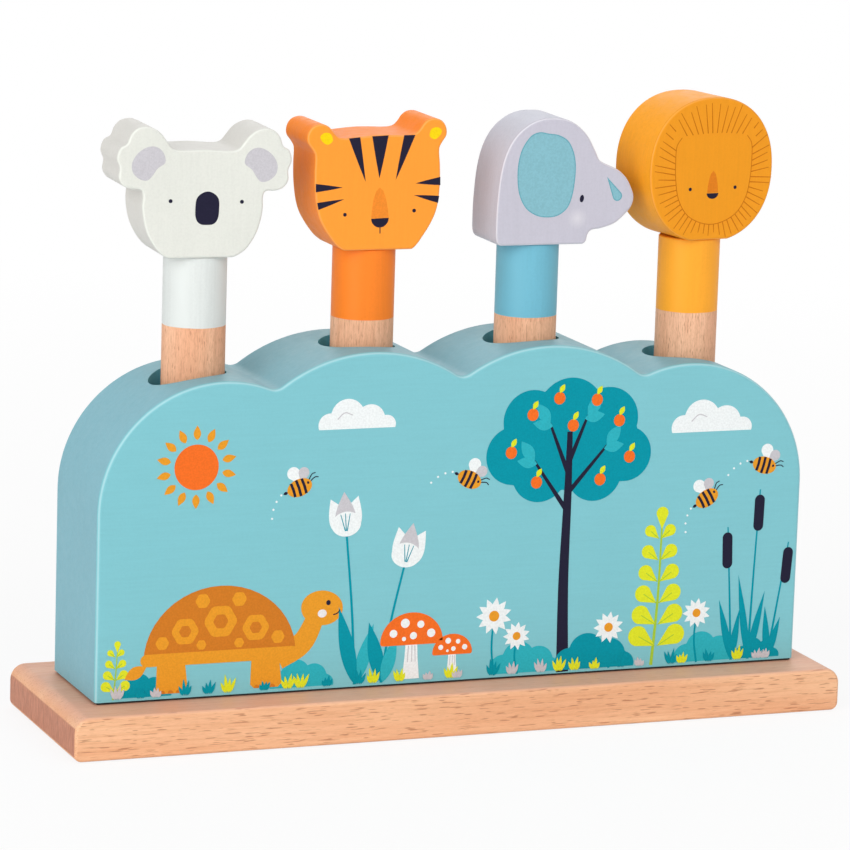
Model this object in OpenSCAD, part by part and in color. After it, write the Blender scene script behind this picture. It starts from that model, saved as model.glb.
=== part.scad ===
// Pop-up animal toy: a painted block on a beech board, with four sprung animal pegs.
// X runs along the board, the animals face -Y and Z is up, all in millimetres.

/* [Base board] */
// Thickness of the board
base_h = 14; // [11:0.5:18]
// How far the board stands out past each end of the block
base_end = 10.5; // [6:0.5:16]
// How far the board stands out in front of the block and behind it
base_step = 14; // [10:0.5:24]
// Radius of the board's corners, seen from above
base_corner = 1.5; // [1:0.5:6]
// Rounding of the board's long edges
base_round = 1.2; // [0.6:0.2:3]
// Rounding along the top of the board's two ends
base_end_top = 5; // [3:0.5:7]
// Rounding along the foot of the board's two ends
base_end_foot = 2.5; // [1:0.5:3.5]

/* [Painted block] */
// Length of the block
block_l = 239; // [238:1:252]
// Thickness of the block
block_t = 44.5; // [36:0.5:50]
// Rounding of the block's edges
block_round = 1.2; // [0.6:0.2:4]
// Rounding of the block's lower edge
block_foot = 0.5; // [0.3:0.1:2]
// Height of the two outer humps above the board
outer_h = 100.5; // [96:0.5:104]
// Radius of the two outer humps
outer_r = 40.5; // [36:0.5:42]
// Height of the two inner humps above the board
inner_h = 108; // [105:0.5:112]
// Radius of the two inner humps
inner_r = 51.5; // [48:0.5:56]
// Distance between the tops of the two inner humps
inner_gap = 60; // [58:0.5:64]
// Fillet in the valley between the inner humps
mid_fillet = 4.5; // [3:0.5:10]
// Fillet in the valley beside each outer hump
side_fillet = 4.5; // [3:0.5:8]

/* [Bores and pegs] */
// Distance from one bore to the next
bore_pitch = 56.2; // [54:0.2:58]
// Diameter of the four bores
bore_d = 24.5; // [24.5:0.5:28]
// Diameter of the four pegs
peg_d = 20; // [16:0.5:20]
// Chamfer around the lower end of each peg
peg_chamfer = 1.5; // [0.5:0.25:3]
// How far the koala's peg rests off the middle of its bore
koala_shift = 1.8; // [0:0.1:2]
// How far the tiger's peg rests off the middle of its bore
tiger_shift = 1.6; // [0:0.1:2]
// How far the elephant's peg rests off the middle of its bore
elephant_shift = 1.3; // [0:0.1:2]
// How far the lion's peg rests off the middle of its bore
lion_shift = 1.8; // [0:0.1:2]
// Height of the koala's underside above the board, at rest
koala_chin = 137.5; // [130:0.1:146]
// Height of the tiger's underside above the board, at rest
tiger_chin = 138.4; // [130:0.1:146]
// Height of the elephant's underside above the board, at rest
elephant_chin = 138.5; // [130:0.1:146]
// Height of the lion's underside above the board, at rest
lion_chin = 138.6; // [130:0.1:146]

/* [Springs] */
// Length of a spring under its resting peg
spring_l = 57.4; // [50:0.1:62]
// Outside diameter of a spring
spring_d = 18; // [17:0.1:20]
// Diameter of the spring wire
wire_d = 1; // [0.8:0.05:1.2]
// Open turns in a spring, between its two closed end turns
open_turns = 10; // [7:1:11]
// Rise of each closed end turn
closed_rise = 1.7; // [1.65:0.05:2]
// Running clearance at the ends of a spring and around its seat
spring_clear = 0.3; // [0.2:0.05:0.4]

/* [Spring seats] */
// Diameter of the wooden button that centres a spring
seat_d = 13.6; // [11:0.1:13.8]
// Height of the button
seat_h = 4; // [3:0.25:6]
// Chamfer around the top of the button
seat_chamfer = 0.8; // [0.3:0.1:1.5]

/* [Screws] */
// Shank diameter of a seat screw
seat_screw_d = 3; // [2.5:0.1:3.5]
// Wood left in the board under a seat screw
seat_cover = 3; // [2:0.5:5]
// Shank diameter of a block screw
block_screw_d = 4; // [3.5:0.1:5]
// Length of a block screw
block_screw_l = 40; // [30:1:50]
// Distance from one block screw to the next
block_screw_pitch = 56.2; // [54:0.2:58]
// How far a block screw's head is sunk in the board
screw_sink = 0.6; // [0.3:0.1:1.5]
// Clearance of a screw or glued pin in its hole, all round
fit_clear = 0.05; // [0.02:0.01:0.1]

/* [Animal heads] */
// Thickness of the four heads
head_t = 22; // [16:0.5:26]
// Rounding of the heads' edges
head_round = 0.8; // [0.5:0.1:1.3]
// Height of the koala's, tiger's and elephant's heads
head_h = 40.6; // [36:0.2:41]
// Angle that each head is turned to, seen from above
head_turn = [-3, -0.75, -1, 8]; // [-9:0.25:9]
// Angle that each head leans to the left, seen from the front
head_lean = [-1.4, 2, 0, 0]; // [-3:0.1:3]
// How far each head stands to the right of the middle of its peg
head_off = [-1.2, 0.9, 0, 0.6]; // [-1.5:0.1:1.5]
// Width of the lion's round head
lion_w = 46.4; // [40:0.2:46.4]
// Height of the lion's round head, before its underside is cut flat
lion_h = 47; // [42:0.2:50]
// Depth of the flat on the lion's underside
lion_flat = 0.8; // [0.4:0.1:1.5]
// Diameter of the glued pin in each neck
pin_d = 8; // [6:0.5:10]
// Length of the glued pin
pin_l = 24; // [16:1:30]

/* [Hidden] */

$fn = 96;
koala = 0;
tiger = 1;
elephant = 2;
lion = 3;
animals = [koala, tiger, elephant, lion];

// Paint and wood
aqua = "#86ccd3";
beech = "#edb78a";
steel = "#b9bcc0";
spring_steel = "#9a9da2";
head_paint = ["#eaebe4", "#f98f2e", "#c6c3cf", "#f3a022"];
neck_paint = ["#e0e8ea", "#f5842f", "#6cbbd5", "#ffaa33"];

// Board and block
base_l = block_l + 2 * base_end;
base_w = block_t + 2 * base_step;
outer_c = [block_l / 2 - outer_r, base_h + outer_h - outer_r];
inner_c = [inner_gap / 2, base_h + inner_h - inner_r];
through = base_h + inner_h;
bore_x = [for (i = animals) (i - (len(animals) - 1) / 2) * bore_pitch];

// Pegs, and the springs below them
peg_shift = [koala_shift, tiger_shift, elephant_shift, lion_shift];
chin_h = [koala_chin, tiger_chin, elephant_chin, lion_chin];
peg_x = [for (i = animals) bore_x[i] + peg_shift[i]];
chin_z = [for (i = animals) base_h + chin_h[i]];
spring_z = base_h + spring_clear;
peg_z = spring_z + spring_l + spring_clear;
coil_r = (spring_d - wire_d) / 2;
open_rise = (spring_l - wire_d - 2 * closed_rise) / open_turns;
all_turns = open_turns + 2;
rings_per_turn = 8;
wire_sides = 6;

// Screws: a 90 degree countersunk head is twice as wide as its shank
head_ratio = 2;
recess_ratio = 0.3;
block_screw_x = [for (i = [-1:1]) i * block_screw_pitch];
seat_screw_l = base_h - seat_cover + seat_h;

// Outlines of the heads, from the right end of the chin round the ears, seen from the front,
// each drawn at this height
drawn_h = 40.6;
koala_half = [[10, 0], [13.6, 2], [15.9, 4.8], [17.7, 8.2], [18.8, 12], [19.3, 16],
    [19.2, 19.4], [20, 21], [23, 21.2], [25.6, 22.2], [27.1, 24.6], [26.9, 27.7],
    [27.9, 30.6], [27, 33.8], [24.9, 35.2], [23.9, 37.8], [21.9, 39.9], [19.1, 40.6],
    [16.3, 39.9], [14, 38.3], [12.1, 35.9], [10.6, 34.1], [8.4, 33.4], [0, 33.7]];
tiger_half = [[10.9, 0], [13, 1.3], [15.2, 3.9], [17.5, 7.3], [19.2, 10.7], [20.2, 14.5],
    [20.8, 20.5], [20.8, 26], [20.6, 31], [21.5, 32.9], [23, 35.2], [22.9, 37.7],
    [21.6, 39.7], [19.4, 40.6], [17.2, 40.4], [15.5, 39.3], [14.1, 37.5], [12.6, 36.2],
    [10, 35.8], [5, 36.1], [0, 36.3]];
elephant_outline = [[14.4, 0], [15.7, 1], [16.2, 3], [17.4, 4.4], [20.5, 4.9], [25.2, 6.4],
    [28.4, 8.9], [30.9, 11.8], [31.6, 15], [30.6, 18], [28.8, 21.1], [26, 23.6],
    [22.6, 25.2], [19.5, 26.8], [18, 29.6], [14.9, 34.9], [11.2, 38.3], [7.2, 40.2],
    [3.4, 40.6], [-0.4, 40.4], [-5, 38.7], [-9.6, 34.8], [-12.6, 29.4], [-14.3, 22.6],
    [-15.1, 14], [-15.3, 6], [-14.9, 1.3], [-13.2, 0]];
curve_steps = 2;
lion_power = 2.2;
lion_points = 72;
round_steps = 2;

function both_sides(half) = concat(half,
    [for (i = [len(half) - 1:-1:0]) if (half[i][0] > 0) [-half[i][0], half[i][1]]]);

// A closed curve through every point, with a straight chin. Each tangent is scaled to its
// stretch, so that the curve doesn't swing out beside the chin.
function smooth(p) = let(n = len(p)) [for (i = [0:n - 1], k = [0:curve_steps - 1])
    let(t = k / curve_steps, a = p[(i + n - 1) % n], b = p[i], c = p[(i + 1) % n],
        d = p[(i + 2) % n], s = norm(c - b),
        first = (c - a) * s / (s + norm(b - a)), last = (d - b) * s / (s + norm(d - c)),
        q = b * (2 * t ^ 3 - 3 * t ^ 2 + 1) + first * (t ^ 3 - 2 * t ^ 2 + t)
            + c * (3 * t ^ 2 - 2 * t ^ 3) + last * (t ^ 3 - t ^ 2))
    if (q[1] >= 0) q];

function power(x) = sign(x) * pow(abs(x), 2 / lion_power);

// The lion's outline runs from one end of its flat chin round to the other
lion_start = -asin(pow(1 - 2 * lion_flat / lion_h, lion_power / 2));
lion_outline = [for (i = [0:lion_points])
    let(a = lion_start + (180 - 2 * lion_start) * i / lion_points)
    [lion_w / 2 * power(cos(a)), lion_h / 2 * (1 + power(sin(a))) - lion_flat]];

upright_outlines = [smooth(both_sides(koala_half)) * head_h / drawn_h,
    smooth(both_sides(tiger_half)) * head_h / drawn_h,
    smooth(elephant_outline) * head_h / drawn_h, lion_outline];

// An outline leant over and moved sideways, while its chin stays flat on the peg
chin_blend = 3;
function leant(p, a, off) = [for (q = p) [off + q[0] - q[1] * sin(a),
    q[1] + q[0] * sin(a) * min(1, q[1] / chin_blend)]];

outlines = [for (i = animals) leant(upright_outlines[i], head_lean[i], head_off[i])];

function unit(v) = v / norm(v);

// An outline drawn in by d, square to the line between each point's neighbours
function drawn_in(p, d) = let(n = len(p)) [for (i = [0:n - 1])
    let(t = unit(p[(i + 1) % n] - p[(i + n - 1) % n])) p[i] + d * [-t[1], t[0]]];

// Centre of a fillet of radius rf that rests in the valley between two circles
function valley_centre(a, ra, b, rb, rf) =
    let(d = norm(b - a), s = ((ra + rf) ^ 2 - (rb + rf) ^ 2 + d ^ 2) / (2 * d),
        e = unit(b - a))
    a + e * s + [-e[1], e[0]] * sqrt((ra + rf) ^ 2 - s ^ 2);

// Faces that join rings of n points each, with a flat cap on the first and the last
function ring_faces(rings, n) = concat([[for (i = [n - 1:-1:0]) i]],
    [for (j = [0:rings - 2], i = [0:n - 1])
        let(k = (i + 1) % n) [j * n + i, j * n + k, (j + 1) * n + k, (j + 1) * n + i]],
    [[for (i = [0:n - 1]) (rings - 1) * n + i]]);

// Height of a spring's centre line above its start, after so many turns
function rise(turns) = closed_rise * min(turns, 1)
    + open_rise * max(0, min(turns - 1, open_turns))
    + closed_rise * max(0, turns - 1 - open_turns);

wire_path = [for (i = [0:all_turns * rings_per_turn]) let(a = 360 * i / rings_per_turn)
    [coil_r * cos(a), coil_r * sin(a), wire_d / 2 + rise(i / rings_per_turn)]];
wire_last = len(wire_path) - 1;
// The wire runs straight for one diameter at each end, level with the closed turn
wire_start = wire_path[0] - [0, wire_d, 0];
wire_end = wire_path[wire_last] + [0, wire_d, 0];
wire_line = concat([wire_start], wire_path, [wire_end]);
wire_gap = min([for (i = [0:wire_last], j = [i + rings_per_turn / 2:1:wire_last])
    norm(wire_path[j] - wire_path[i])]) - wire_d;
echo(str("Least gap between the turns of a spring: ", wire_gap, " mm"));
echo(str("Press travel of the pegs: ", [for (i = animals) stroke(i)], " mm"));

// Distance from an animal's underside down to the hump below it, less a small gap
landing_gap = 0.5;
function stroke(i) = chin_h[i] - (i == tiger || i == elephant ? inner_h : outer_h) - landing_gap;

// A rectangle with rounded corners, centred
module rounded(l, w, r) {
    square([l - 2 * r, w], center = true);
    square([l, w - 2 * r], center = true);
    for (i = [-1, 1], j = [-1, 1])
        translate([i * (l / 2 - r), j * (w / 2 - r)]) circle(r);
}

// A flat shape in X and Z, given a thickness along Y
module upright(t) {
    rotate([90, 0, 0]) linear_extrude(t, center = true) children();
}

// A round hump of the block, standing on edge, with both rims rounded
module hump(c, r) {
    translate([c[0], 0, c[1]]) rotate([90, 0, 0]) rotate_extrude() {
        translate([0, -block_t / 2]) square([r - block_round, block_t]);
        translate([0, block_round - block_t / 2]) square([r, block_t - 2 * block_round]);
        for (s = [-1, 1])
            translate([r - block_round, s * (block_t / 2 - block_round)]) circle(block_round);
    }
}

// The wood that fills a valley up to its fillet, the fillet's rims rounded as well
module valley(a, ra, b, rb, rf) {
    f = valley_centre(a, ra, b, rb, rf);
    difference() {
        upright(block_t) polygon([a, b, f]);
        translate([f[0], 0, f[1]]) rotate([90, 0, 0]) rotate_extrude() difference() {
            translate([0, -block_t / 2 - 1]) square([rf + block_round, block_t + 2]);
            translate([rf + block_round, 0])
                square([2 * block_round, block_t - 2 * block_round], center = true);
            for (s = [-1, 1])
                translate([rf + block_round, s * (block_t / 2 - block_round)])
                    circle(block_round);
        }
    }
}

// The straight-sided lower part of the block, up to the level of the outer humps' centres
module block_body() {
    h = outer_c[1] - base_h;
    intersection() {
        translate([0, 0, base_h]) linear_extrude(h) rounded(block_l, block_t, block_round);
        translate([0, 0, base_h + h]) upright(block_t) rounded(block_l, 2 * h, block_foot);
        translate([0, 0, base_h + h]) rotate([0, 0, 90])
            upright(block_l) rounded(block_t, 2 * h, block_foot);
    }
}

// A tablet with rounded edges, cut to an outline and standing on edge
module tablet(outline) {
    n = len(outline);
    edge = [for (k = [0:round_steps]) let(a = 90 * k / round_steps)
        [head_round * (1 - sin(a)), head_t / 2 - head_round * (1 - cos(a))]];
    sections = concat([for (k = [0:round_steps]) [edge[k][0], -edge[k][1]]],
        [for (k = [round_steps:-1:0]) edge[k]]);
    points = [for (s = sections, q = drawn_in(outline, s[0])) [q[0], s[1], q[1]]];
    polyhedron(points, ring_faces(len(sections), n));
}

// A countersunk wood screw, point down from its head at z = 0
module screw(l, d) {
    head_h = (head_ratio - 1) * d / 2;
    difference() {
        rotate_extrude()
            polygon([[0, 0], [head_ratio * d / 2, 0], [d / 2, -head_h], [d / 2, d - l],
                [0.1 * d, -l], [0, -l]]);
        for (a = [0, 90]) rotate([0, 0, a]) translate([0, 0, -head_h / 2])
            cube([head_ratio * d * 0.6, recess_ratio * d, head_h + 0.01], center = true);
    }
}

// The hole for such a screw, with room all round
module screw_hole(l, d) {
    r = d / 2 + fit_clear;
    head_h = (head_ratio - 1) * d / 2;
    translate([0, 0, -l - fit_clear]) cylinder(h = l + fit_clear, r = r);
    translate([0, 0, -head_h]) cylinder(h = head_h, r1 = r, r2 = head_ratio * d / 2 + fit_clear);
}

// The board seen from the front: its ends are rounded more at the top than at the foot
module board_side() {
    for (e = [[base_end_top, base_h - base_end_top], [base_end_foot, base_end_foot]]) {
        translate([e[0] - base_l / 2, 0]) square([base_l - 2 * e[0], e[1]]);
        for (s = [-1, 1]) translate([s * (base_l / 2 - e[0]), e[1]]) circle(e[0]);
    }
    translate([base_end_top - base_l / 2, base_end_foot])
        square([base_l - 2 * base_end_top, base_h - base_end_foot]);
    translate([-base_l / 2, base_end_foot])
        square([base_l, base_h - base_end_top - base_end_foot]);
}

module base_board() color(beech) difference() {
    intersection() {
        linear_extrude(base_h) rounded(base_l, base_w, base_corner);
        upright(base_w) board_side();
        translate([0, 0, base_h / 2]) rotate([0, 0, 90])
            upright(base_l) rounded(base_w, base_h, base_round);
    }
    for (x = bore_x) translate([x, 0, base_h + seat_h]) screw_hole(seat_screw_l, seat_screw_d);
    for (x = block_screw_x) block_screw_place(x) {
        screw_hole(block_screw_l, block_screw_d);
        cylinder(h = screw_sink + 1, r = head_ratio * block_screw_d / 2 + fit_clear);
    }
}

module block_screw_place(x) {
    translate([x, 0, screw_sink]) rotate([180, 0, 0]) children();
}

module block() color(aqua) difference() {
    union() {
        block_body();
        valley([-inner_c[0], inner_c[1]], inner_r, inner_c, inner_r, mid_fillet);
        for (s = [0, 1]) mirror([s, 0, 0]) {
            hump(outer_c, outer_r);
            hump(inner_c, inner_r);
            valley(inner_c, inner_r, outer_c, outer_r, side_fillet);
        }
    }
    translate([-block_l / 2, -block_t / 2, base_h - through]) cube([block_l, block_t, through]);
    for (x = bore_x) translate([x, 0, base_h - block_foot]) cylinder(h = through, d = bore_d);
    for (x = block_screw_x) block_screw_place(x) screw_hole(block_screw_l, block_screw_d);
}

module block_screws() color(steel)
    for (x = block_screw_x) block_screw_place(x) screw(block_screw_l, block_screw_d);

module spring_seats() color(beech) for (x = bore_x) translate([x, 0, base_h]) difference() {
    rotate_extrude() polygon([[0, 0], [seat_d / 2, 0], [seat_d / 2, seat_h - seat_chamfer],
        [seat_d / 2 - seat_chamfer, seat_h], [0, seat_h]]);
    translate([0, 0, seat_h]) screw_hole(seat_screw_l, seat_screw_d);
}

module seat_screws() color(steel)
    for (x = bore_x) translate([x, 0, base_h + seat_h]) screw(seat_screw_l, seat_screw_d);

module spring(i) color(spring_steel) translate([bore_x[i], 0, spring_z]) {
    rings = len(wire_line);
    points = [for (k = [0:rings - 1])
        let(c = wire_line[k], j = min(max(k - 1, 0), wire_last), a = 360 * j / rings_per_turn)
        for (s = [0:wire_sides - 1]) let(b = 360 * s / wire_sides)
            c + wire_d / 2 * [cos(b) * cos(a), cos(b) * sin(a), sin(b)]];
    polyhedron(points, ring_faces(rings, wire_sides));
}

module peg(i) color(neck_paint[i]) translate([peg_x[i], 0, 0]) difference() {
    rotate_extrude() polygon([[0, peg_z], [peg_d / 2 - peg_chamfer, peg_z],
        [peg_d / 2, peg_z + peg_chamfer], [peg_d / 2, chin_z[i]], [0, chin_z[i]]]);
    translate([0, 0, chin_z[i]]) pin_bore();
}

module pin(i) color(beech) translate([peg_x[i], 0, chin_z[i]])
    cylinder(h = pin_l, d = pin_d, center = true);

// The hole for the glued pin, a little longer than the pin at both ends
module pin_bore() {
    cylinder(h = pin_l + 4 * fit_clear, r = pin_d / 2 + fit_clear, center = true);
}

module head(i) color(head_paint[i]) translate([peg_x[i], 0, chin_z[i]]) difference() {
    rotate([0, 0, head_turn[i]]) tablet(outlines[i]);
    pin_bore();
}

base_board();
block();
block_screws();
spring_seats();
seat_screws();
spring(koala);  // koala_spring
peg(koala);  // koala_peg
pin(koala);  // koala_pin
head(koala);  // koala_head
spring(tiger);  // tiger_spring
peg(tiger);  // tiger_peg
pin(tiger);  // tiger_pin
head(tiger);  // tiger_head
spring(elephant);  // elephant_spring
peg(elephant);  // elephant_peg
pin(elephant);  // elephant_pin
head(elephant);  // elephant_head
spring(lion);  // lion_spring
peg(lion);  // lion_peg
pin(lion);  // lion_pin
head(lion);  // lion_head
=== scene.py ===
import bpy
import bmesh
import math
import random
from mathutils import Matrix, Vector


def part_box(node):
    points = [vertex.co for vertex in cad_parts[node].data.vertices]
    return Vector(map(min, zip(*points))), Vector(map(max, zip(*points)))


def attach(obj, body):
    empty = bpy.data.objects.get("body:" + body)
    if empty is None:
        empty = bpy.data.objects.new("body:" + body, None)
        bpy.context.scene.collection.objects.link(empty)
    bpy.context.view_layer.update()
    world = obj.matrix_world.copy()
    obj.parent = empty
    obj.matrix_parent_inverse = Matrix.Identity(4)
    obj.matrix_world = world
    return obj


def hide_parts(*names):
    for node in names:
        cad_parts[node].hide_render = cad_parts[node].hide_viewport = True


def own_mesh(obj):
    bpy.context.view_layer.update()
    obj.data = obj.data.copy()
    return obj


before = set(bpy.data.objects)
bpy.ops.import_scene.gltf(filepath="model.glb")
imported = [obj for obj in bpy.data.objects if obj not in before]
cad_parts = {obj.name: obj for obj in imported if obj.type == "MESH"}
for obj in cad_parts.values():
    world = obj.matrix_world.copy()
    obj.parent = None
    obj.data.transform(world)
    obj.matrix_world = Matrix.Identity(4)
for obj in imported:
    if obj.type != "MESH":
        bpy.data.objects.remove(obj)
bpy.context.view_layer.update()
mm = 0.001
animals = ["koala", "tiger", "elephant", "lion"]
print("frame loaded")


def toLinear(hexColour):
    values = []
    for i in (1, 3, 5):
        c = int(hexColour[i:i + 2], 16) / 255
        values.append(c / 12.92 if c <= 0.04045 else ((c + 0.055) / 1.055) ** 2.4)
    return (values[0], values[1], values[2], 1)


def darker(colour, share):
    return tuple(c * (1 - share) for c in colour[:3]) + (1,)


def feed(tree, node, inputs):
    # an input takes a value, a socket, or a node, which gives the first output that it has in use
    for name, value in inputs.items():
        if isinstance(value, bpy.types.Node):
            value = next(socket for socket in value.outputs if socket.enabled)
        if isinstance(value, bpy.types.NodeSocket):
            tree.links.new(value, node.inputs[name])
        else:
            node.inputs[name].default_value = value


def addNode(tree, kind, settings=None, inputs=None):
    node = tree.nodes.new(kind)
    for name, value in (settings or {}).items():
        setattr(node, name, value)
    feed(tree, node, inputs or {})
    return node


def newMaterial(name):
    material = bpy.data.materials.new(name)
    material.use_nodes = True
    tree = material.node_tree
    return material, tree, tree.nodes["Principled BSDF"]


def objectCoords(tree, stretch=(1, 1, 1), turn=(0, 0, 0)):
    place = addNode(tree, "ShaderNodeTexCoord").outputs["Object"]
    return addNode(tree, "ShaderNodeMapping", {}, {"Vector": place, "Scale": stretch, "Rotation": turn})


def grainCoords(tree, along, share):
    # a pattern on these is drawn out along the grain: a share of 0.1 makes it ten times as long
    stretch = [1, 1, 1]
    stretch["XYZ".index(along)] = share
    return objectCoords(tree, tuple(stretch))


def mottle(tree, coords, sizeMm, span, levels=(0, 1), detail=3, rough=0.5):
    # blotches of a real size in mm: what the noise has within the span is spread over the levels
    blotches = addNode(tree, "ShaderNodeTexNoise", {}, {
        "Vector": coords, "Scale": 1000 / sizeMm, "Detail": detail, "Roughness": rough})
    return addNode(tree, "ShaderNodeMapRange", {}, {
        "Value": blotches, "From Min": span[0], "From Max": span[1],
        "To Min": levels[0], "To Max": levels[1]})


def layered(tree, tone, layers):
    # each layer is (mask, colour) and lies over the ones before it
    for mask, colour in layers:
        tone = addNode(tree, "ShaderNodeMix", {"data_type": "RGBA"}, {0: mask, 6: tone, 7: colour})
    return tone


# Wide is how wide a mark is in mm, Long how many times as long it runs along the grain
woodLook = {
    "X": {"pale": "#f3be94", "mid": "#eaae84", "rosy": "#d8946a", "fleck": "#9a5733",
          "fleckLong": 14, "flecks": 0.6, "pores": 0.17},
    "Z": {"pale": "#f6c29e", "mid": "#eaaf8a", "rosy": "#d29572", "fleck": "#9d5c3d",
          "fleckLong": 7, "flecks": 0.5, "pores": 0.4},
    "cloudWide": 12, "cloudLong": 7, "grainWide": 0.8, "grainLong": 40, "grains": 0.5,
    "fleckWide": 0.4, "poreWide": 0.26, "poreLong": 9, "ringWide": 0.6,
    # the top tint and its share are painted shade on faces turned upwards
    "endPale": "#cb8a6e", "endDark": "#a96c52", "topShadeTint": "#dea99a", "topShadeShare": 0.45,
    "roughness": 0.48, "specular": 0.3, "relief": 0.12, "reliefDeep": 0.1,
}


# Beech, planed and clear oiled: pinkish tan, short dark flecks along the grain, redder end grain
def beechColour(tree, along):
    look = {**woodLook, **woodLook[along]}

    def streaks(mark, span, levels, detail, rough):
        coords = grainCoords(tree, along, 1 / look[mark + "Long"])
        return mottle(tree, coords, look[mark + "Wide"], span, levels, detail, rough)

    cloud = streaks("cloud", (0.35, 0.65), (0, 1), 2, 0.5)
    grain = addNode(tree, "ShaderNodeTexNoise", {}, {
        "Vector": grainCoords(tree, along, 1 / look["grainLong"]), "Scale": 1000 / look["grainWide"],
        "Detail": 4, "Roughness": 0.6, "Distortion": 0.3})
    rosy = addNode(tree, "ShaderNodeMapRange", {}, {
        "Value": grain, "From Min": 0.45, "From Max": 0.72, "To Max": look["grains"]})
    flecks = streaks("fleck", (0.64, 0.7), (0, look["flecks"]), 1, 0.4)
    pores = streaks("pore", (0.46, 0.7), (0, look["pores"]), 3, 0.7)
    marks = addNode(tree, "ShaderNodeMath", {"operation": "MAXIMUM"}, {0: flecks, 1: pores})
    layers = [(cloud, toLinear(look["mid"])), (rosy, toLinear(look["rosy"])),
              (marks, toLinear(look["fleck"]))]

    # painted shade: faces turned upwards get a darker, pinker tone than the board's edges, for how the light
    # falls on its top
    normal = addNode(tree, "ShaderNodeNewGeometry").outputs["Normal"]
    facing = addNode(tree, "ShaderNodeSeparateXYZ", {}, {"Vector": normal})
    if along == "X":
        upwardShade = addNode(tree, "ShaderNodeMapRange", {}, {
            "Value": facing.outputs["Z"], "From Min": 0.4, "From Max": 0.95, "To Max": look["topShadeShare"]})
        layers.append((upwardShade, toLinear(look["topShadeTint"])))

    # end grain: growth rings cut across, with fine rays
    ringStretch = (1, 1, 0.16) if along == "X" else (1, 0.3, 1)
    ringCoords = objectCoords(tree, ringStretch, (0.5, 0, 0))
    rings = mottle(tree, ringCoords, look["ringWide"], (0.35, 0.68), rough=0.6)
    endTone = layered(tree, toLinear(look["endPale"]), [(rings, toLinear(look["endDark"]))])
    endwise = addNode(tree, "ShaderNodeMath", {"operation": "ABSOLUTE"}, {0: facing.outputs[along]})
    ends = addNode(tree, "ShaderNodeMapRange", {}, {"Value": endwise, "From Min": 0.93, "From Max": 0.96})
    layers.append((ends, endTone))
    return layered(tree, toLinear(look["pale"]), layers), grain, marks


def beech(name, along):
    look = woodLook
    material, tree, shader = newMaterial(name)
    tone, grain, marks = beechColour(tree, along)
    rough = addNode(tree, "ShaderNodeMapRange", {}, {
        "Value": grain, "From Min": 0.3, "From Max": 0.7,
        "To Min": look["roughness"] - 0.05, "To Max": look["roughness"] + 0.08})
    height = addNode(tree, "ShaderNodeMath", {"operation": "SUBTRACT"}, {0: grain, 1: marks})
    bump = addNode(tree, "ShaderNodeBump", {}, {
        "Height": height, "Strength": look["relief"], "Distance": look["reliefDeep"] * mm})
    feed(tree, shader, {"Base Color": tone, "Roughness": rough, "Normal": bump,
                        "Specular IOR Level": look["specular"]})
    return material


# Sizes in mm, then how much darker tone each brings
paintLook = {
    "cloud": 30, "fibre": 0.8, "speck": 0.7, "peel": 0.7, "sheen": 3, "clouds": 0.3, "specks": 0.3,
    "specular": 0.17, "relief": 0.12, "reliefDeep": 0.1,
}


def paintColour(tree, colour, along, shade, arrisHighlight, fibres=0.45):
    look = paintLook
    base = toLinear(colour)
    # pale is the painted highlight that is laid on the arrises
    pale = tuple(c + (1 - c) * arrisHighlight for c in base[:3]) + (1,)
    cloud = mottle(tree, objectCoords(tree), look["cloud"], (0.3, 0.7), (0, look["clouds"]), 4, 0.6)
    fibre = mottle(tree, grainCoords(tree, along, 0.05), look["fibre"], (0.35, 0.7), (0, fibres), 3, 0.6)
    speck = mottle(tree, objectCoords(tree), look["speck"], (0.4, 0.7), (0, look["specks"]), 2)
    fine = addNode(tree, "ShaderNodeMath", {"operation": "ADD"}, {0: fibre, 1: speck})
    shadow = addNode(tree, "ShaderNodeMath", {"operation": "ADD"}, {0: cloud, 1: fine})
    # painted highlight: an arris stands at 45 degrees to the front, where sine times cosine is greatest, and
    # there the colour turns paler
    normal = addNode(tree, "ShaderNodeNewGeometry").outputs["Normal"]
    facing = addNode(tree, "ShaderNodeSeparateXYZ", {}, {"Vector": normal}).outputs["Y"]
    cosine = addNode(tree, "ShaderNodeMath", {"operation": "ABSOLUTE"}, {0: facing})
    squared = addNode(tree, "ShaderNodeMath", {"operation": "MULTIPLY"}, {0: cosine, 1: cosine})
    rest = addNode(tree, "ShaderNodeMath", {"operation": "SUBTRACT"}, {0: 1.0, 1: squared})
    sine = addNode(tree, "ShaderNodeMath", {"operation": "SQRT"}, {0: rest})
    product = addNode(tree, "ShaderNodeMath", {"operation": "MULTIPLY"}, {0: cosine, 1: sine})
    edge = addNode(tree, "ShaderNodeMapRange", {}, {"Value": product, "From Min": 0.34, "From Max": 0.5})
    return layered(tree, base, [(shadow, darker(base, 2.5 * shade)), (edge, pale)])


# Satin enamel sprayed on sanded wood: even colour over faint fibres, with a painted highlight that makes it
# paler on the arrises
def satinPaint(name, colour, along="Z", shade=0.05, roughness=0.46, arrisHighlight=0.1, fibres=0.45):
    look = paintLook
    material, tree, shader = newMaterial(name)
    tone = paintColour(tree, colour, along, shade, arrisHighlight, fibres)
    rough = mottle(tree, objectCoords(tree), look["sheen"], (0.3, 0.7), (roughness - 0.05, roughness + 0.07))
    fibre = mottle(tree, grainCoords(tree, along, 0.06), look["fibre"], (0, 1), (0, 0.8), 3, 0.6)
    peel = mottle(tree, objectCoords(tree), look["peel"], (0, 1), (0, 0.4), 1)
    height = addNode(tree, "ShaderNodeMath", {"operation": "ADD"}, {0: fibre, 1: peel})
    bump = addNode(tree, "ShaderNodeBump", {}, {
        "Height": height, "Strength": look["relief"], "Distance": look["reliefDeep"] * mm})
    feed(tree, shader, {"Base Color": tone, "Roughness": rough, "Normal": bump,
                        "Specular IOR Level": look["specular"]})
    return material


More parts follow.
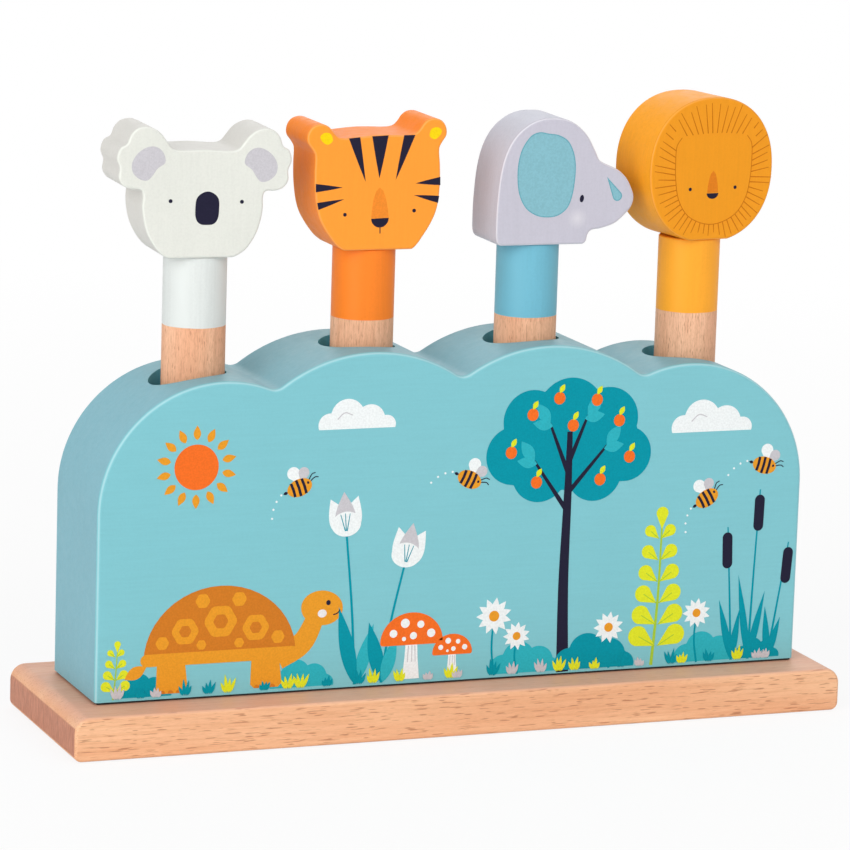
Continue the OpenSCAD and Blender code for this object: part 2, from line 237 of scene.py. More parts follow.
# A soft airbrushed spot on top of a painted face
def addBlush(material, place, radius, colour, share):
    tree = material.node_tree
    shader = tree.nodes["Principled BSDF"]
    below = shader.inputs["Base Color"].links[0].from_socket
    coords = addNode(tree, "ShaderNodeTexCoord").outputs["Object"]
    away = addNode(tree, "ShaderNodeVectorMath", {"operation": "DISTANCE"}, {0: coords, 1: tuple(place)})
    spot = addNode(tree, "ShaderNodeMapRange", {}, {
        "Value": away.outputs["Value"], "From Min": radius * mm, "From Max": radius * 0.1 * mm,
        "To Max": share})
    feed(tree, shader, {"Base Color": layered(tree, below, [(spot, toLinear(colour))])})


inkLook = {"mesh": 0.6, "darker": 0.1, "sheen": 2, "roughness": 0.56, "roughSpread": 0.06, "specular": 0.08}


# Screen-printed ink: thin, matt, with the slight mottle of the mesh it is pressed through
def ink(name, colour):
    look = inkLook
    material, tree, shader = newMaterial(name)
    base = toLinear(colour)
    grains = mottle(tree, objectCoords(tree), look["mesh"], (0.35, 0.65), detail=2)
    levels = (look["roughness"] - look["roughSpread"], look["roughness"] + look["roughSpread"])
    rough = mottle(tree, objectCoords(tree), look["sheen"], (0.3, 0.7), levels, 2)
    feed(tree, shader, {"Base Color": layered(tree, base, [(grains, darker(base, look["darker"]))]),
                        "Roughness": rough, "Specular IOR Level": look["specular"]})
    return material


# The paint line on a peg, in mm, and the finish of the wood below it and the paint above it
dowelLook = {"wave": 0.1, "waveLong": 4, "lineSoft": 0.06, "bareRough": 0.52, "paintRough": 0.4,
             "specular": 0.2, "fibres": 0.8, "relief": 0.15, "reliefDeep": 0.12}


# Turned beech dowel dipped in satin enamel: bare below a crisp line, coloured above it
def dippedDowel(name, colour, lineZ):
    look = dowelLook
    material, tree, shader = newMaterial(name)
    wood, grain, marks = beechColour(tree, "Z")
    paint = paintColour(tree, colour, "Z", 0.04, 0)
    place = addNode(tree, "ShaderNodeTexCoord").outputs["Object"]
    level = addNode(tree, "ShaderNodeSeparateXYZ", {}, {"Vector": place}).outputs["Z"]
    swing = look["wave"] * mm
    wave = mottle(tree, objectCoords(tree), look["waveLong"], (0, 1), (-swing, swing), 1)
    waved = addNode(tree, "ShaderNodeMath", {"operation": "ADD"}, {0: level, 1: wave})
    soft = look["lineSoft"] * mm
    above = addNode(tree, "ShaderNodeMapRange", {}, {
        "Value": waved, "From Min": lineZ - soft, "From Max": lineZ + soft})
    rough = addNode(tree, "ShaderNodeMix", {"data_type": "FLOAT"}, {
        0: above, 2: look["bareRough"], 3: look["paintRough"]})
    # the wood's fibres below the line, a smooth coat that stands a little proud above it
    fibres = addNode(tree, "ShaderNodeMath", {"operation": "SUBTRACT"}, {0: grain, 1: marks})
    woodHeight = addNode(tree, "ShaderNodeMath", {"operation": "MULTIPLY"}, {0: fibres, 1: look["fibres"]})
    height = addNode(tree, "ShaderNodeMix", {"data_type": "FLOAT"}, {0: above, 2: woodHeight, 3: 1.0})
    bump = addNode(tree, "ShaderNodeBump", {}, {
        "Height": height, "Strength": look["relief"], "Distance": look["reliefDeep"] * mm})
    feed(tree, shader, {"Base Color": layered(tree, wood, [(above, paint)]), "Roughness": rough,
                        "Normal": bump, "Specular IOR Level": look["specular"]})
    return material


steelLook = {"scratchWide": 0.4, "scratchShare": 0.3, "dull": 0.2}


# Bright steel: drawn wire and zinc-plated screws, fine scratches along the surface
def brightSteel(name, colour, roughness):
    look = steelLook
    material, tree, shader = newMaterial(name)
    base = toLinear(colour)
    scratches = addNode(tree, "ShaderNodeTexNoise", {}, {
        "Vector": grainCoords(tree, "Z", look["scratchShare"]), "Scale": 1000 / look["scratchWide"],
        "Detail": 3})
    rough = addNode(tree, "ShaderNodeMapRange", {}, {
        "Value": scratches, "From Min": 0.3, "From Max": 0.7,
        "To Min": roughness - 0.06, "To Max": roughness + 0.1})
    feed(tree, shader, {"Base Color": layered(tree, base, [(scratches, darker(base, look["dull"]))]),
                        "Roughness": rough, "Metallic": 1})
    return material


colours = {
    # bore is the block's paint made brighter and bluer, painted light for inside the bores
    # foot is a dark colour, painted shade for the gap under the block's eased foot
    "front": "#80c3cc", "block": "#84b8c5", "bore": "#6ac2de", "foot": "#2f4a58",
    "teal": "#0093a5", "sea": "#2fb0bd", "navy": "#222035", "lime": "#dee32b", "leaf": "#a5c73c",
    "orange": "#f26f25", "mustard": "#e79a2a", "amber": "#cf7a25", "white": "#eef2f2", "grey": "#c7c4c9",
    "koalaPaint": "#dcdad4", "tigerPaint": "#ff8a12", "elephantPaint": "#cdced9", "lionPaint": "#ffa722",
    "koalaFace": "#e0e1d9", "tigerFace": "#ff9c34", "elephantFace": "#c6c3cf", "lionFace": "#f09a1c",
    "koalaNeck": "#dde1de", "tigerNeck": "#fb8526", "elephantNeck": "#73b9ce", "lionNeck": "#ffab30",
    "tigerBridge": "#f08b2e", "lionBridge": "#e2801f", "maneLine": "#cb7314", "earYellow": "#f6d312",
    "earAqua": "#86bac6", "earLine": "#69a8b6", "cheek": "#e9e6e8",
}

inkNames = ["teal", "sea", "navy", "lime", "leaf", "orange", "mustard", "amber", "white", "grey",
            "tigerBridge", "lionBridge", "maneLine", "earYellow", "earAqua", "earLine", "cheek"]
inks = {name: ink("screenInk_" + name, colours[name]) for name in inkNames}
beechBoard = beech("beechOiledBoard", "X")
beechTurned = beech("beechTurned", "Z")
blockPaint = satinPaint("satinEnamelBlock", colours["block"], "X", arrisHighlight=0.16)
# painted light: the bore walls have the block's own paint, given a brighter, bluer colour of their own for
# the little light that reaches inside
borePaintedLight = satinPaint("satinEnamelBore", colours["bore"], "Z", arrisHighlight=0)
frontPaint = satinPaint("satinEnamelFront", colours["front"], "X", 0.03, arrisHighlight=0.18)
# painted shade: a dark colour on the block's eased foot stands in for the shadow in the narrow gap below its
# edge, which hardly any light reaches
footPaintedShade = satinPaint("satinEnamelFoot", colours["foot"], "X", arrisHighlight=0)
zincScrew = brightSteel("zincPlatedScrew", "#c9ccd0", 0.3)
springWire = brightSteel("springSteelWire", "#a9adb3", 0.28)
print("finishes made")


def curvePoints(a, b, c, d, steps):
    # from b towards c; each tangent is scaled to the stretch, so that long straights don't swing out
    a, b, c, d = (Vector(p) for p in (a, b, c, d))
    length = (c - b).length
    first = (c - a) * length / (length + (b - a).length)
    last = (d - b) * length / (length + (d - c).length)
    for k in range(steps):
        t = k / steps
        yield (b * (2 * t ** 3 - 3 * t ** 2 + 1) + first * (t ** 3 - 2 * t ** 2 + t)
               + c * (3 * t ** 2 - 2 * t ** 3) + last * (t ** 3 - t ** 2))


def smoothLoop(points, steps):
    # a closed curve through every point
    n = len(points)
    return [p for i in range(n) for p in curvePoints(*(points[(i + k) % n] for k in (-1, 0, 1, 2)), steps)]


def bothSides(half):
    return list(half) + [(-x, z) for x, z in reversed(half) if x > 0]


def drawnIn(loop, distance):
    # the loop moved inwards, square to the line between each point's neighbours
    n = len(loop)
    result = []
    for i in range(n):
        along = (loop[(i + 1) % n] - loop[i - 1]).normalized()
        result.append(loop[i] + distance * Vector((-along.y, along.x)))
    return result


def arc(centre, radius, start, end, steps):
    return [Vector((centre[0] + radius * math.cos(math.radians(start + (end - start) * i / steps)),
                    centre[1] + radius * math.sin(math.radians(start + (end - start) * i / steps))))
            for i in range(steps + 1)]


def newPiece(name, data, materials=()):
    # a new object in the scene, also for a lamp or the camera
    piece = bpy.data.objects.new(name, data)
    bpy.context.scene.collection.objects.link(piece)
    for material in materials:
        data.materials.append(material)
    return piece


def meshFrom(form, name):
    mesh = bpy.data.meshes.new(name)
    form.to_mesh(mesh)
    form.free()
    return mesh


def bakePiece(piece, name):
    # the evaluated object becomes a plain mesh of its own
    view = bpy.context.evaluated_depsgraph_get()
    baked = newPiece(name, bpy.data.meshes.new_from_object(piece.evaluated_get(view)))
    bpy.data.objects.remove(piece)
    return baked


def softenEdges(piece, angle=32):
    mesh = piece.data
    mesh.shade_smooth()
    mesh.set_sharp_from_angle(angle=math.radians(angle))
    weighted = piece.modifiers.new("weightedNormals", "WEIGHTED_NORMAL")
    weighted.keep_sharp = True
    weighted.weight = 60


def filledIn(loop, longest):
    # extra points on long straight stretches
    result = []
    for a, b in zip(loop, loop[1:] + loop[:1]):
        parts = max(1, math.ceil((b - a).length / longest))
        result += [a.lerp(b, i / parts) for i in range(parts)]
    return result


def tablet(name, loop, thickness, rounding, segments, materials):
    # an outline in X and Z in mm, given a thickness along Y, with round edges;
    # the second material is for the front and the edge around it
    loop = filledIn(loop, 1.2 * rounding)
    rings = []
    for k in range(segments + 1):
        a = math.pi / 2 * k / segments
        rings.append((rounding * (1 - math.sin(a)), -thickness / 2 + rounding * (1 - math.cos(a))))
    rings += [(inset, -y) for inset, y in reversed(rings)]
    n = len(loop)
    points = []
    for inset, y in rings:
        points += [(p.x * mm, y * mm, p.y * mm) for p in drawnIn(loop, inset)]
    faces = [list(range(n)), [len(points) - 1 - i for i in range(n)]]
    for j in range(len(rings) - 1):
        for i in range(n):
            k = (i + 1) % n
            faces.append([j * n + i, (j + 1) * n + i, (j + 1) * n + k, j * n + k])
    mesh = bpy.data.meshes.new(name)
    mesh.from_pydata(points, [], faces)
    piece = newPiece(name, mesh, materials)
    if len(materials) > 1:
        mesh.polygons[0].material_index = 1
        for polygon in mesh.polygons[2:2 + segments * n]:
            polygon.material_index = 1
    form = bmesh.new()
    form.from_mesh(mesh)
    bmesh.ops.recalc_face_normals(form, faces=form.faces)
    form.to_mesh(mesh)
    form.free()
    return piece


def turned(name, profile, x, materials, sides=96):
    # a closed profile of (radius, height) pairs in mm, turned about a vertical axis at x
    form = bmesh.new()
    rings = []
    for radius, height in profile:
        if radius == 0:
            rings.append([form.verts.new((x * mm, 0, height * mm))])
            continue
        rings.append([form.verts.new(((x + radius * math.cos(2 * math.pi * i / sides)) * mm,
                                      radius * math.sin(2 * math.pi * i / sides) * mm,
                                      height * mm)) for i in range(sides)])
    for low, high in zip(rings, rings[1:]):
        for i in range(sides):
            k = (i + 1) % sides
            corners = [low[i % len(low)], low[k % len(low)], high[k % len(high)], high[i % len(high)]]
            form.faces.new(list(dict.fromkeys(corners)))
    bmesh.ops.recalc_face_normals(form, faces=form.faces)
    return newPiece(name, meshFrom(form, name), materials)


def cutAway(piece, cutters):
    name = piece.name
    for cutter in cutters:
        cut = piece.modifiers.new("cut", "BOOLEAN")
        cut.operation = "DIFFERENCE"
        cut.solver = "EXACT"
        cut.object = cutter
        cut.material_mode = "TRANSFER"
    baked = bakePiece(piece, name + "Cut")
    for cutter in cutters:
        bpy.data.objects.remove(cutter)
    return baked


def boxOf(node):
    low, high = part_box(node)
    return [v / mm for v in low], [v / mm for v in high]


# The photo's viewpoint, fitted to the board and the block, in metres and degrees
viewpoint = {"place": (-0.53156, -1.3439, 0.37537), "azimuth": -21.676, "elevation": 10.962,
             "roll": 1.841, "lens": 194.848, "shift": (-0.02259, -0.00718)}


def makeCamera(settings):
    a, e, r = (math.radians(settings[k]) for k in ("azimuth", "elevation", "roll"))
    ahead = Vector((-math.sin(a) * math.cos(e), math.cos(a) * math.cos(e), -math.sin(e)))
    right = Vector((math.cos(a), math.sin(a), 0))
    up = right.cross(ahead)
    sideways = math.cos(r) * right + math.sin(r) * up
    upright = math.cos(r) * up - math.sin(r) * right
    data = bpy.data.cameras.new("studioCamera")
    data.lens = settings["lens"]
    data.sensor_width = 36
    data.shift_x, data.shift_y = settings["shift"]
    data.clip_end = 20
    camera = newPiece("studioCamera", data)
    rotation = Matrix((sideways, upright, -ahead)).transposed().to_4x4()
    camera.matrix_world = Matrix.Translation(settings["place"]) @ rotation
    bpy.context.scene.camera = camera


# Places and sizes in metres, power in watts
lights = {
    "front": {"place": (0.5, -1.5, 1.1), "size": 1.3, "power": 9.2},
    "left": {"place": (-1.35, -0.95, 0.75), "size": 1.6, "power": 18},
    "top": {"place": (0.1, 0.2, 1.7), "size": 1.4, "power": 3.2},
    "back": {"place": (0.6, 1.5, 1.0), "size": 1.2, "power": 3.5},
}
lightAim = (0, 0, 0.08)
studio = {"white": "#ffffff", "floor": "#f3f3f3", "ambient": 0.45, "backdrop": 1.0, "glow": 1.0,
          "floorRadius": 6, "floorDrop": 0.0002, "whiteFrom": 0.2, "whiteTo": 0.9, "nearWhite": 0.86}


def makeLight(name, settings):
    data = bpy.data.lights.new(name, "AREA")
    data.shape = "DISK"
    data.size = settings["size"]
    data.energy = settings["power"]
    lamp = newPiece(name, data)
    lamp.location = settings["place"]
    aim = Vector(lightAim) - Vector(settings["place"])
    lamp.rotation_euler = aim.to_track_quat("-Z", "Y").to_euler()


def makeSurroundings(sizes):
    # the world is dimmer to the object than to the camera and to reflections
    world = bpy.data.worlds.new("studio")
    bpy.context.scene.world = world
    world.use_nodes = True
    tree = world.node_tree
    path = addNode(tree, "ShaderNodeLightPath")
    seen = addNode(tree, "ShaderNodeMath", {"operation": "MAXIMUM"}, {
        0: path.outputs["Is Camera Ray"], 1: path.outputs["Is Glossy Ray"]})
    strength = addNode(tree, "ShaderNodeMix", {"data_type": "FLOAT"}, {
        0: seen, 2: sizes["ambient"], 3: sizes["backdrop"]})
    feed(tree, tree.nodes["Background"], {"Color": toLinear(sizes["white"]), "Strength": strength})

    # the floor glows white to the camera, a little less under the object
    material, tree, shader = newMaterial("paleStudioFloor")
    feed(tree, shader, {"Base Color": toLinear(sizes["floor"]), "Roughness": 0.9})
    glow = addNode(tree, "ShaderNodeEmission", {}, {
        "Color": toLinear(sizes["white"]), "Strength": sizes["glow"]})
    place = addNode(tree, "ShaderNodeTexCoord").outputs["Object"]
    away = addNode(tree, "ShaderNodeVectorMath", {"operation": "LENGTH"}, {0: place}).outputs["Value"]
    whiteness = addNode(tree, "ShaderNodeMapRange", {}, {
        "Value": away, "From Min": sizes["whiteFrom"], "From Max": sizes["whiteTo"],
        "To Min": sizes["nearWhite"], "To Max": 1.0})
    seen = addNode(tree, "ShaderNodeLightPath").outputs["Is Camera Ray"]
    share = addNode(tree, "ShaderNodeMath", {"operation": "MULTIPLY"}, {0: seen, 1: whiteness})
    mixed = addNode(tree, "ShaderNodeMixShader", {}, {0: share, 1: shader, 2: glow})
    feed(tree, tree.nodes["Material Output"], {"Surface": mixed})
    form = bmesh.new()
    bmesh.ops.create_circle(form, cap_ends=True, segments=64, radius=sizes["floorRadius"])
    floor = newPiece("floor", meshFrom(form, "floor"), [material])
    floor.location = (0, 0, -sizes["floorDrop"])


makeCamera(viewpoint)
for lightName, lightSettings in lights.items():
    makeLight(lightName, lightSettings)
makeSurroundings(studio)
bpy.context.scene.view_settings.view_transform = "Standard"
print("camera, lights and floor made")


board = {"endTop": 5, "endFoot": 2.5, "round": 1.2, "segments": 4, "sinkHead": 4.1, "holeTop": 14}


def makeBoard(sizes):
    # the ends are rounded more at the top than at the foot
    low, high = boxOf("base_board")
    top, foot = sizes["endTop"], sizes["endFoot"]
    loop = []
    for x, z, r, start in ((high[0] - foot, low[2] + foot, foot, -90),
                           (high[0] - top, high[2] - top, top, 0),
                           (low[0] + top, high[2] - top, top, 90),
                           (low[0] + foot, low[2] + foot, foot, 180)):
        loop += arc((x, z), r, start, start + 90, 10)
    piece = tablet("baseBoard", loop, high[1] - low[1], sizes["round"], sizes["segments"], [beechBoard])
    # a shank hole with a 45 degree countersink below for each of the block's screws
    screwLow, screwHigh = boxOf("block_screws")
    reach = (screwHigh[0] - screwLow[0]) / 2 - (screwHigh[1] - screwLow[1]) / 2
    sink, head, shank = screwLow[2], sizes["sinkHead"], sizes["sinkHead"] / 2
    profile = [(0, -1), (head, -1), (head, sink), (shank, sink + shank), (shank, sizes["holeTop"]),
               (0, sizes["holeTop"])]
    piece = cutAway(piece, [turned("countersink", profile, x, [], 48) for x in (-reach, 0, reach)])
    piece.name = "baseBoard"
    softenEdges(piece)
    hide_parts("base_board")
    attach(piece, "root")


makeBoard(board)
print("board made")


# Radii and fillets of the humps and the heights of their tops above the table, in mm
block = {"outerRadius": 40.5, "innerRadius": 51.5, "innerGap": 60, "outerTop": 114.5, "innerTop": 122,
         "midFillet": 4.5, "sideFillet": 4.5, "footHigh": 0.8, "footDeep": 1.0, "round": 1.2,
         "boreRadius": 12.25, "borePitch": 56.2, "rim": 0.3, "degreesPerStep": 2}


def valleyCentre(a, ra, b, rb, rf):
    # the centre of a fillet of radius rf in the valley between two humps
    d = (b - a).length
    s = ((ra + rf) ** 2 - (rb + rf) ** 2 + d * d) / (2 * d)
    e = (b - a) / d
    return a + e * s + Vector((-e.y, e.x)) * math.sqrt((ra + rf) ** 2 - s * s)


def blockOutline(sizes):
    # up the right side and over the humps to the middle, then mirrored
    low, high = boxOf("block")
    outer = Vector((high[0] - sizes["outerRadius"], sizes["outerTop"] - sizes["outerRadius"]))
    inner = Vector((sizes["innerGap"] / 2, sizes["innerTop"] - sizes["innerRadius"]))
    mirrored = Vector((-inner.x, inner.y))
    side = valleyCentre(inner, sizes["innerRadius"], outer, sizes["outerRadius"], sizes["sideFillet"])
    mid = valleyCentre(mirrored, sizes["innerRadius"], inner, sizes["innerRadius"], sizes["midFillet"])

    def bearing(a, b):
        return math.degrees(math.atan2(b.y - a.y, b.x - a.x))

    def steps(start, end):
        return max(3, round(abs(end - start) / sizes["degreesPerStep"]))

    half = [Vector((high[0], low[2] + h)) for h in (-6, -4, -2, 2)]  # cut off level with the board later
    touch = bearing(outer, side)
    half += arc(outer, sizes["outerRadius"], 0, touch, steps(0, touch))
    start, end = bearing(side, outer), bearing(side, inner)
    start, end = start % 360, end % 360
    half += arc(side, sizes["sideFillet"], start, end, 8)[1:]
    start, end = bearing(inner, side), bearing(inner, mid)
    half += arc(inner, sizes["innerRadius"], start, end, steps(start, end))[1:]
    half += arc(mid, sizes["midFillet"], bearing(mid, inner) % 360, 270, 6)[1:]
    return [Vector(p) for p in bothSides([(p.x, p.y) for p in half[:-1]] + [(0.0, half[-1].y)])]


def boreCentres(sizes):
    return [(i - (len(animals) - 1) / 2) * sizes["borePitch"] for i in range(len(animals))]


def makeBlock(sizes):
    low, high = boxOf("block")
    loop = blockOutline(sizes)
    piece = tablet("paintedBlock", loop, high[1] - low[1], sizes["round"], 6,
                   [blockPaint, frontPaint, footPaintedShade])
    cutFoot(piece.data, low[2], sizes["footHigh"], sizes["footDeep"])
    r, under, over = sizes["boreRadius"], low[2] - 2, high[2] + 9
    profile = [(0, under), (r, under), (r, over), (0, over)]
    # the cutters give the bore walls the brightened copy of the block's paint, painted light for inside the
    # bores
    piece = cutAway(piece, [turned("bore", profile, x, [borePaintedLight]) for x in boreCentres(sizes)])
    piece.name = "paintedBlock"
    roundBoreRims(piece.data, sizes, low[2])
    softenEdges(piece, 40)
    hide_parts("block")
    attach(piece, "root")


def cutFoot(mesh, level, high, deep):
    # a flat underside whose edge is eased; the eased slope takes the painted shade that shows as a thin dark
    # gap above the board
    form = bmesh.new()
    form.from_mesh(mesh)
    everything = list(form.verts) + list(form.edges) + list(form.faces)
    cut = bmesh.ops.bisect_plane(form, geom=everything, plane_co=(0, 0, (level + high) * mm),
                                 plane_no=(0, 0, -1), clear_outer=True)
    rim = [e for e in cut["geom_cut"] if isinstance(e, bmesh.types.BMEdge)]
    made = bmesh.ops.contextual_create(form, geom=rim)["faces"]
    slope = bmesh.ops.inset_region(form, faces=made, thickness=deep * mm, use_even_offset=True)
    # the slope takes the third material, the painted shade of the gap under the edge
    for face in slope["faces"]:
        face.material_index = 2
    for v in made[0].verts:
        v.co.z = level * mm
    bmesh.ops.recalc_face_normals(form, faces=form.faces)
    form.to_mesh(mesh)
    form.free()


def roundBoreRims(mesh, sizes, floorZ):
    # a rim's edges lie on a bore's wall, well above the board, and fold sharply
    slack = 0.02
    lowest = floorZ + 20
    sharp = math.radians(40)
    form = bmesh.new()
    form.from_mesh(mesh)
    bmesh.ops.remove_doubles(form, verts=form.verts, dist=0.002 * mm)

    def onBore(v):
        away = min(abs(math.hypot(v.co.x / mm - x, v.co.y / mm) - sizes["boreRadius"])
                   for x in boreCentres(sizes))
        return away < slack and v.co.z / mm > lowest

    rims = [e for e in form.edges if all(onBore(v) for v in e.verts) and len(e.link_faces) == 2
            and e.calc_face_angle() > sharp]
    bmesh.ops.bevel(form, geom=rims, offset=sizes["rim"] * mm, segments=3, profile=0.5, affect="EDGES",
                    clamp_overlap=True)
    form.to_mesh(mesh)
    form.free()


makeBlock(block)
print("block made")


pegs = {"radius": 10, "chamfer": 1.5, "pinRadius": 4.05, "pinDepth": 12.1,
        "neck": {"koala": 22.3, "tiger": 22.5, "elephant": 23.6, "lion": 24}}


def makePeg(animal, sizes):
    # the foot's chamfer is eased at both its edges, and the top edge is only broken
    low, high = boxOf(animal + "_peg")
    x = (low[0] + high[0]) / 2
    lineZ = (high[2] - sizes["neck"][animal]) * mm
    material = dippedDowel("beechDowel_" + animal, colours[animal + "Neck"], lineZ)
    r, c = sizes["radius"], sizes["chamfer"]
    profile = [(0, low[2]), (r - c - 0.3, low[2]), (r - c + 0.1, low[2] + 0.15),
               (r - 0.15, low[2] + c - 0.1), (r, low[2] + c + 0.4), (r, high[2] - 0.3), (r - 0.3, high[2]),
               (sizes["pinRadius"], high[2]), (sizes["pinRadius"], high[2] - sizes["pinDepth"]),
               (0, high[2] - sizes["pinDepth"])]
    piece = turned(animal + "Peg", profile, x, [material])
    softenEdges(piece, 30)
    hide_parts(animal + "_peg")
    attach(piece, animal + "_peg")
    return x


def dress(node, material):
    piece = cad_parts[node]
    piece.data.materials.clear()
    piece.data.materials.append(material)


pegPlaces = {animal: makePeg(animal, pegs) for animal in animals}
dress("spring_seats", beechTurned)
dress("seat_screws", zincScrew)
dress("block_screws", zincScrew)
for animal in animals:
    dress(animal + "_pin", beechTurned)
print("pegs made")


spring = {"openTurns": 10, "closedRise": 1.7, "wire": 1.0, "ringsPerTurn": 40, "wireSides": 12}


def newGeometryTree(name, sockets):
    tree = bpy.data.node_groups.new(name, "GeometryNodeTree")
    for socketName, kind in sockets:
        tree.interface.new_socket(name=socketName, in_out="INPUT", socket_type=kind)
    tree.interface.new_socket(name="Geometry", in_out="OUTPUT", socket_type="NodeSocketGeometry")
    return tree, addNode(tree, "NodeGroupInput").outputs


def endTree(tree, geometry, material):
    real = addNode(tree, "GeometryNodeRealizeInstances", {}, {"Geometry": geometry})
    painted = addNode(tree, "GeometryNodeSetMaterial", {}, {"Geometry": real, "Material": material})
    addNode(tree, "NodeGroupOutput", {}, {"Geometry": painted})


def springTree():
    tree, given = newGeometryTree("springTurns", [
        ("Coil Radius", "NodeSocketFloat"), ("Wire Radius", "NodeSocketFloat"),
        ("Open Turns", "NodeSocketFloat"), ("Closed Rise", "NodeSocketFloat"),
        ("Open Rise", "NodeSocketFloat"), ("Place", "NodeSocketVector"),
        ("Steps", "NodeSocketInt"), ("Sides", "NodeSocketInt"), ("Wire", "NodeSocketMaterial")])
    # a closed turn at each end, open turns between, each stretch with a rise of its own
    allTurns = addNode(tree, "ShaderNodeMath", {"operation": "ADD"}, {0: given["Open Turns"], 1: 2.0})
    lastTurn = addNode(tree, "ShaderNodeMath", {"operation": "ADD"}, {0: given["Open Turns"], 1: 1.0})
    openRise = addNode(tree, "ShaderNodeMath", {"operation": "MULTIPLY"}, {
        0: given["Open Turns"], 1: given["Open Rise"]})
    line = addNode(tree, "GeometryNodeCurveSpiral", {}, {
        "Resolution": given["Steps"], "Rotations": allTurns, "Start Radius": given["Coil Radius"],
        "End Radius": given["Coil Radius"], "Height": 0.0})
    share = addNode(tree, "GeometryNodeSplineParameter").outputs["Factor"]
    turn = addNode(tree, "ShaderNodeMath", {"operation": "MULTIPLY"}, {0: share, 1: allTurns})
    height = 0.0
    for start, end, rise in ((0.0, 1.0, given["Closed Rise"]), (1.0, lastTurn, openRise),
                             (lastTurn, allTurns, given["Closed Rise"])):
        climbed = addNode(tree, "ShaderNodeMapRange", {}, {
            "Value": turn, "From Min": start, "From Max": end, "To Max": rise})
        height = addNode(tree, "ShaderNodeMath", {"operation": "ADD"}, {0: height, 1: climbed})
    lift = addNode(tree, "ShaderNodeCombineXYZ", {}, {"Z": height})
    risen = addNode(tree, "GeometryNodeSetPosition", {}, {"Geometry": line, "Offset": lift})
    ring = addNode(tree, "GeometryNodeCurvePrimitiveCircle", {}, {
        "Resolution": given["Sides"], "Radius": given["Wire Radius"]})
    tube = addNode(tree, "GeometryNodeCurveToMesh", {}, {
        "Curve": risen, "Profile Curve": ring, "Fill Caps": True})
    moved = addNode(tree, "GeometryNodeTransform", {}, {"Geometry": tube, "Translation": given["Place"]})
    endTree(tree, moved, given["Wire"])
    return tree


def runTree(tree, name, values, mesh=None):
    # the tree's result as a plain mesh object
    holder = newPiece(name + "Holder", mesh or bpy.data.meshes.new(name + "Seed"))
    modifier = holder.modifiers.new("nodes", "NODES")
    modifier.node_group = tree
    for item in tree.interface.items_tree:
        if item.item_type == "SOCKET" and item.in_out == "INPUT" and item.name in values:
            modifier[item.identifier] = values[item.name]
    return bakePiece(holder, name)


def makeSpring(animal, sizes, tree):
    low, high = boxOf(animal + "_spring")
    x = (low[0] + high[0]) / 2 * mm
    wire = sizes["wire"]
    coilRadius = (high[0] - low[0] - wire) / 2
    rise = high[2] - low[2] - wire - 2 * sizes["closedRise"]
    piece = runTree(tree, animal + "Spring", {
        "Coil Radius": coilRadius * mm, "Wire Radius": wire / 2 * mm,
        "Open Turns": float(sizes["openTurns"]), "Closed Rise": sizes["closedRise"] * mm,
        "Open Rise": rise / sizes["openTurns"] * mm, "Place": (x, 0.0, (low[2] + wire / 2) * mm),
        "Steps": sizes["ringsPerTurn"], "Sides": sizes["wireSides"], "Wire": springWire})
    piece.data.shade_smooth()
    piece.data.set_sharp_from_angle(angle=math.radians(50))
    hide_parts(animal + "_spring")
    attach(piece, animal + "_spring")
    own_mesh(piece)


coilTree = springTree()
for animal in animals:
    makeSpring(animal, spring, coilTree)
print("springs made")


def ellipse(x, z, rx, rz, turn=0, steps=40):
    c, s = math.cos(math.radians(turn)), math.sin(math.radians(turn))
    loop = []
    for i in range(steps):
        a = 2 * math.pi * i / steps
        u, v = rx * math.cos(a), rz * math.sin(a)
        loop.append((x + u * c - v * s, z + u * s + v * c))
    return loop


def dome(x, z, rx, rz, steps=24):
    # the upper half of an ellipse, flat below
    return [(x + rx * math.cos(math.pi * i / steps), z + rz * math.sin(math.pi * i / steps))
            for i in range(steps + 1)]


def leaf(x, z, heading, length, width, blunt=1.0, steps=14):
    # pointed at both ends, heading clockwise from straight up; blunt moves the widest place
    c, s = math.cos(math.radians(heading)), math.sin(math.radians(heading))

    def place(across, along):
        return (x + across * c + along * s, z - across * s + along * c)

    rightSide, leftSide = [], []
    for i in range(1, steps):
        t = i / steps
        half = width / 2 * math.sin(math.pi * t ** blunt)
        rightSide.append(place(half, t * length))
        leftSide.append(place(-half, t * length))
    return [place(0, 0)] + rightSide + [place(0, length)] + leftSide[::-1]


def ribbon(points, wide, narrow, steps=6):
    # a stem or line that follows a smooth path, from one width to another
    line = []
    ends = [points[0]] + list(points) + [points[-1]]
    for i in range(1, len(ends) - 2):
        line += curvePoints(*ends[i - 1:i + 3], steps)
    line.append(Vector(points[-1]))
    rightSide, leftSide = [], []
    for i, p in enumerate(line):
        along = (line[min(i + 1, len(line) - 1)] - line[max(i - 1, 0)]).normalized()
        half = (wide + (narrow - wide) * i / (len(line) - 1)) / 2
        across = Vector((along.y, -along.x)) * half
        rightSide.append(tuple(p + across))
        leftSide.append(tuple(p - across))
    return rightSide + leftSide[::-1]


# Films of ink in mm: how far they reach into the paint, then how far they stand out of it
inkFilm = {"sunk": 0.05, "first": 0.03, "step": 0.02, "apart": 0.0015}


def filmHeight(layer, i):
    # neighbours on one layer differ a little, so that no two films share a plane
    return inkFilm["first"] + inkFilm["step"] * layer + inkFilm["apart"] * (i % 12)


def signedArea(loop):
    return sum(a[0] * b[1] - b[0] * a[1] for a, b in zip(loop, loop[1:] + loop[:1])) / 2


def addPlate(form, outline, proud):
    # a closed plate, from just inside the wood to its own height above it
    loop = [tuple(p) for p in outline]
    if signedArea(loop) < 0:
        loop.reverse()
    front = [form.verts.new((x * mm, -proud * mm, z * mm)) for x, z in loop]
    back = [form.verts.new((x * mm, inkFilm["sunk"] * mm, z * mm)) for x, z in loop]
    faces = [form.faces.new(front), form.faces.new(back[::-1])]
    for i in range(len(loop)):
        k = (i + 1) % len(loop)
        faces.append(form.faces.new([front[k], front[i], back[i], back[k]]))
    return faces


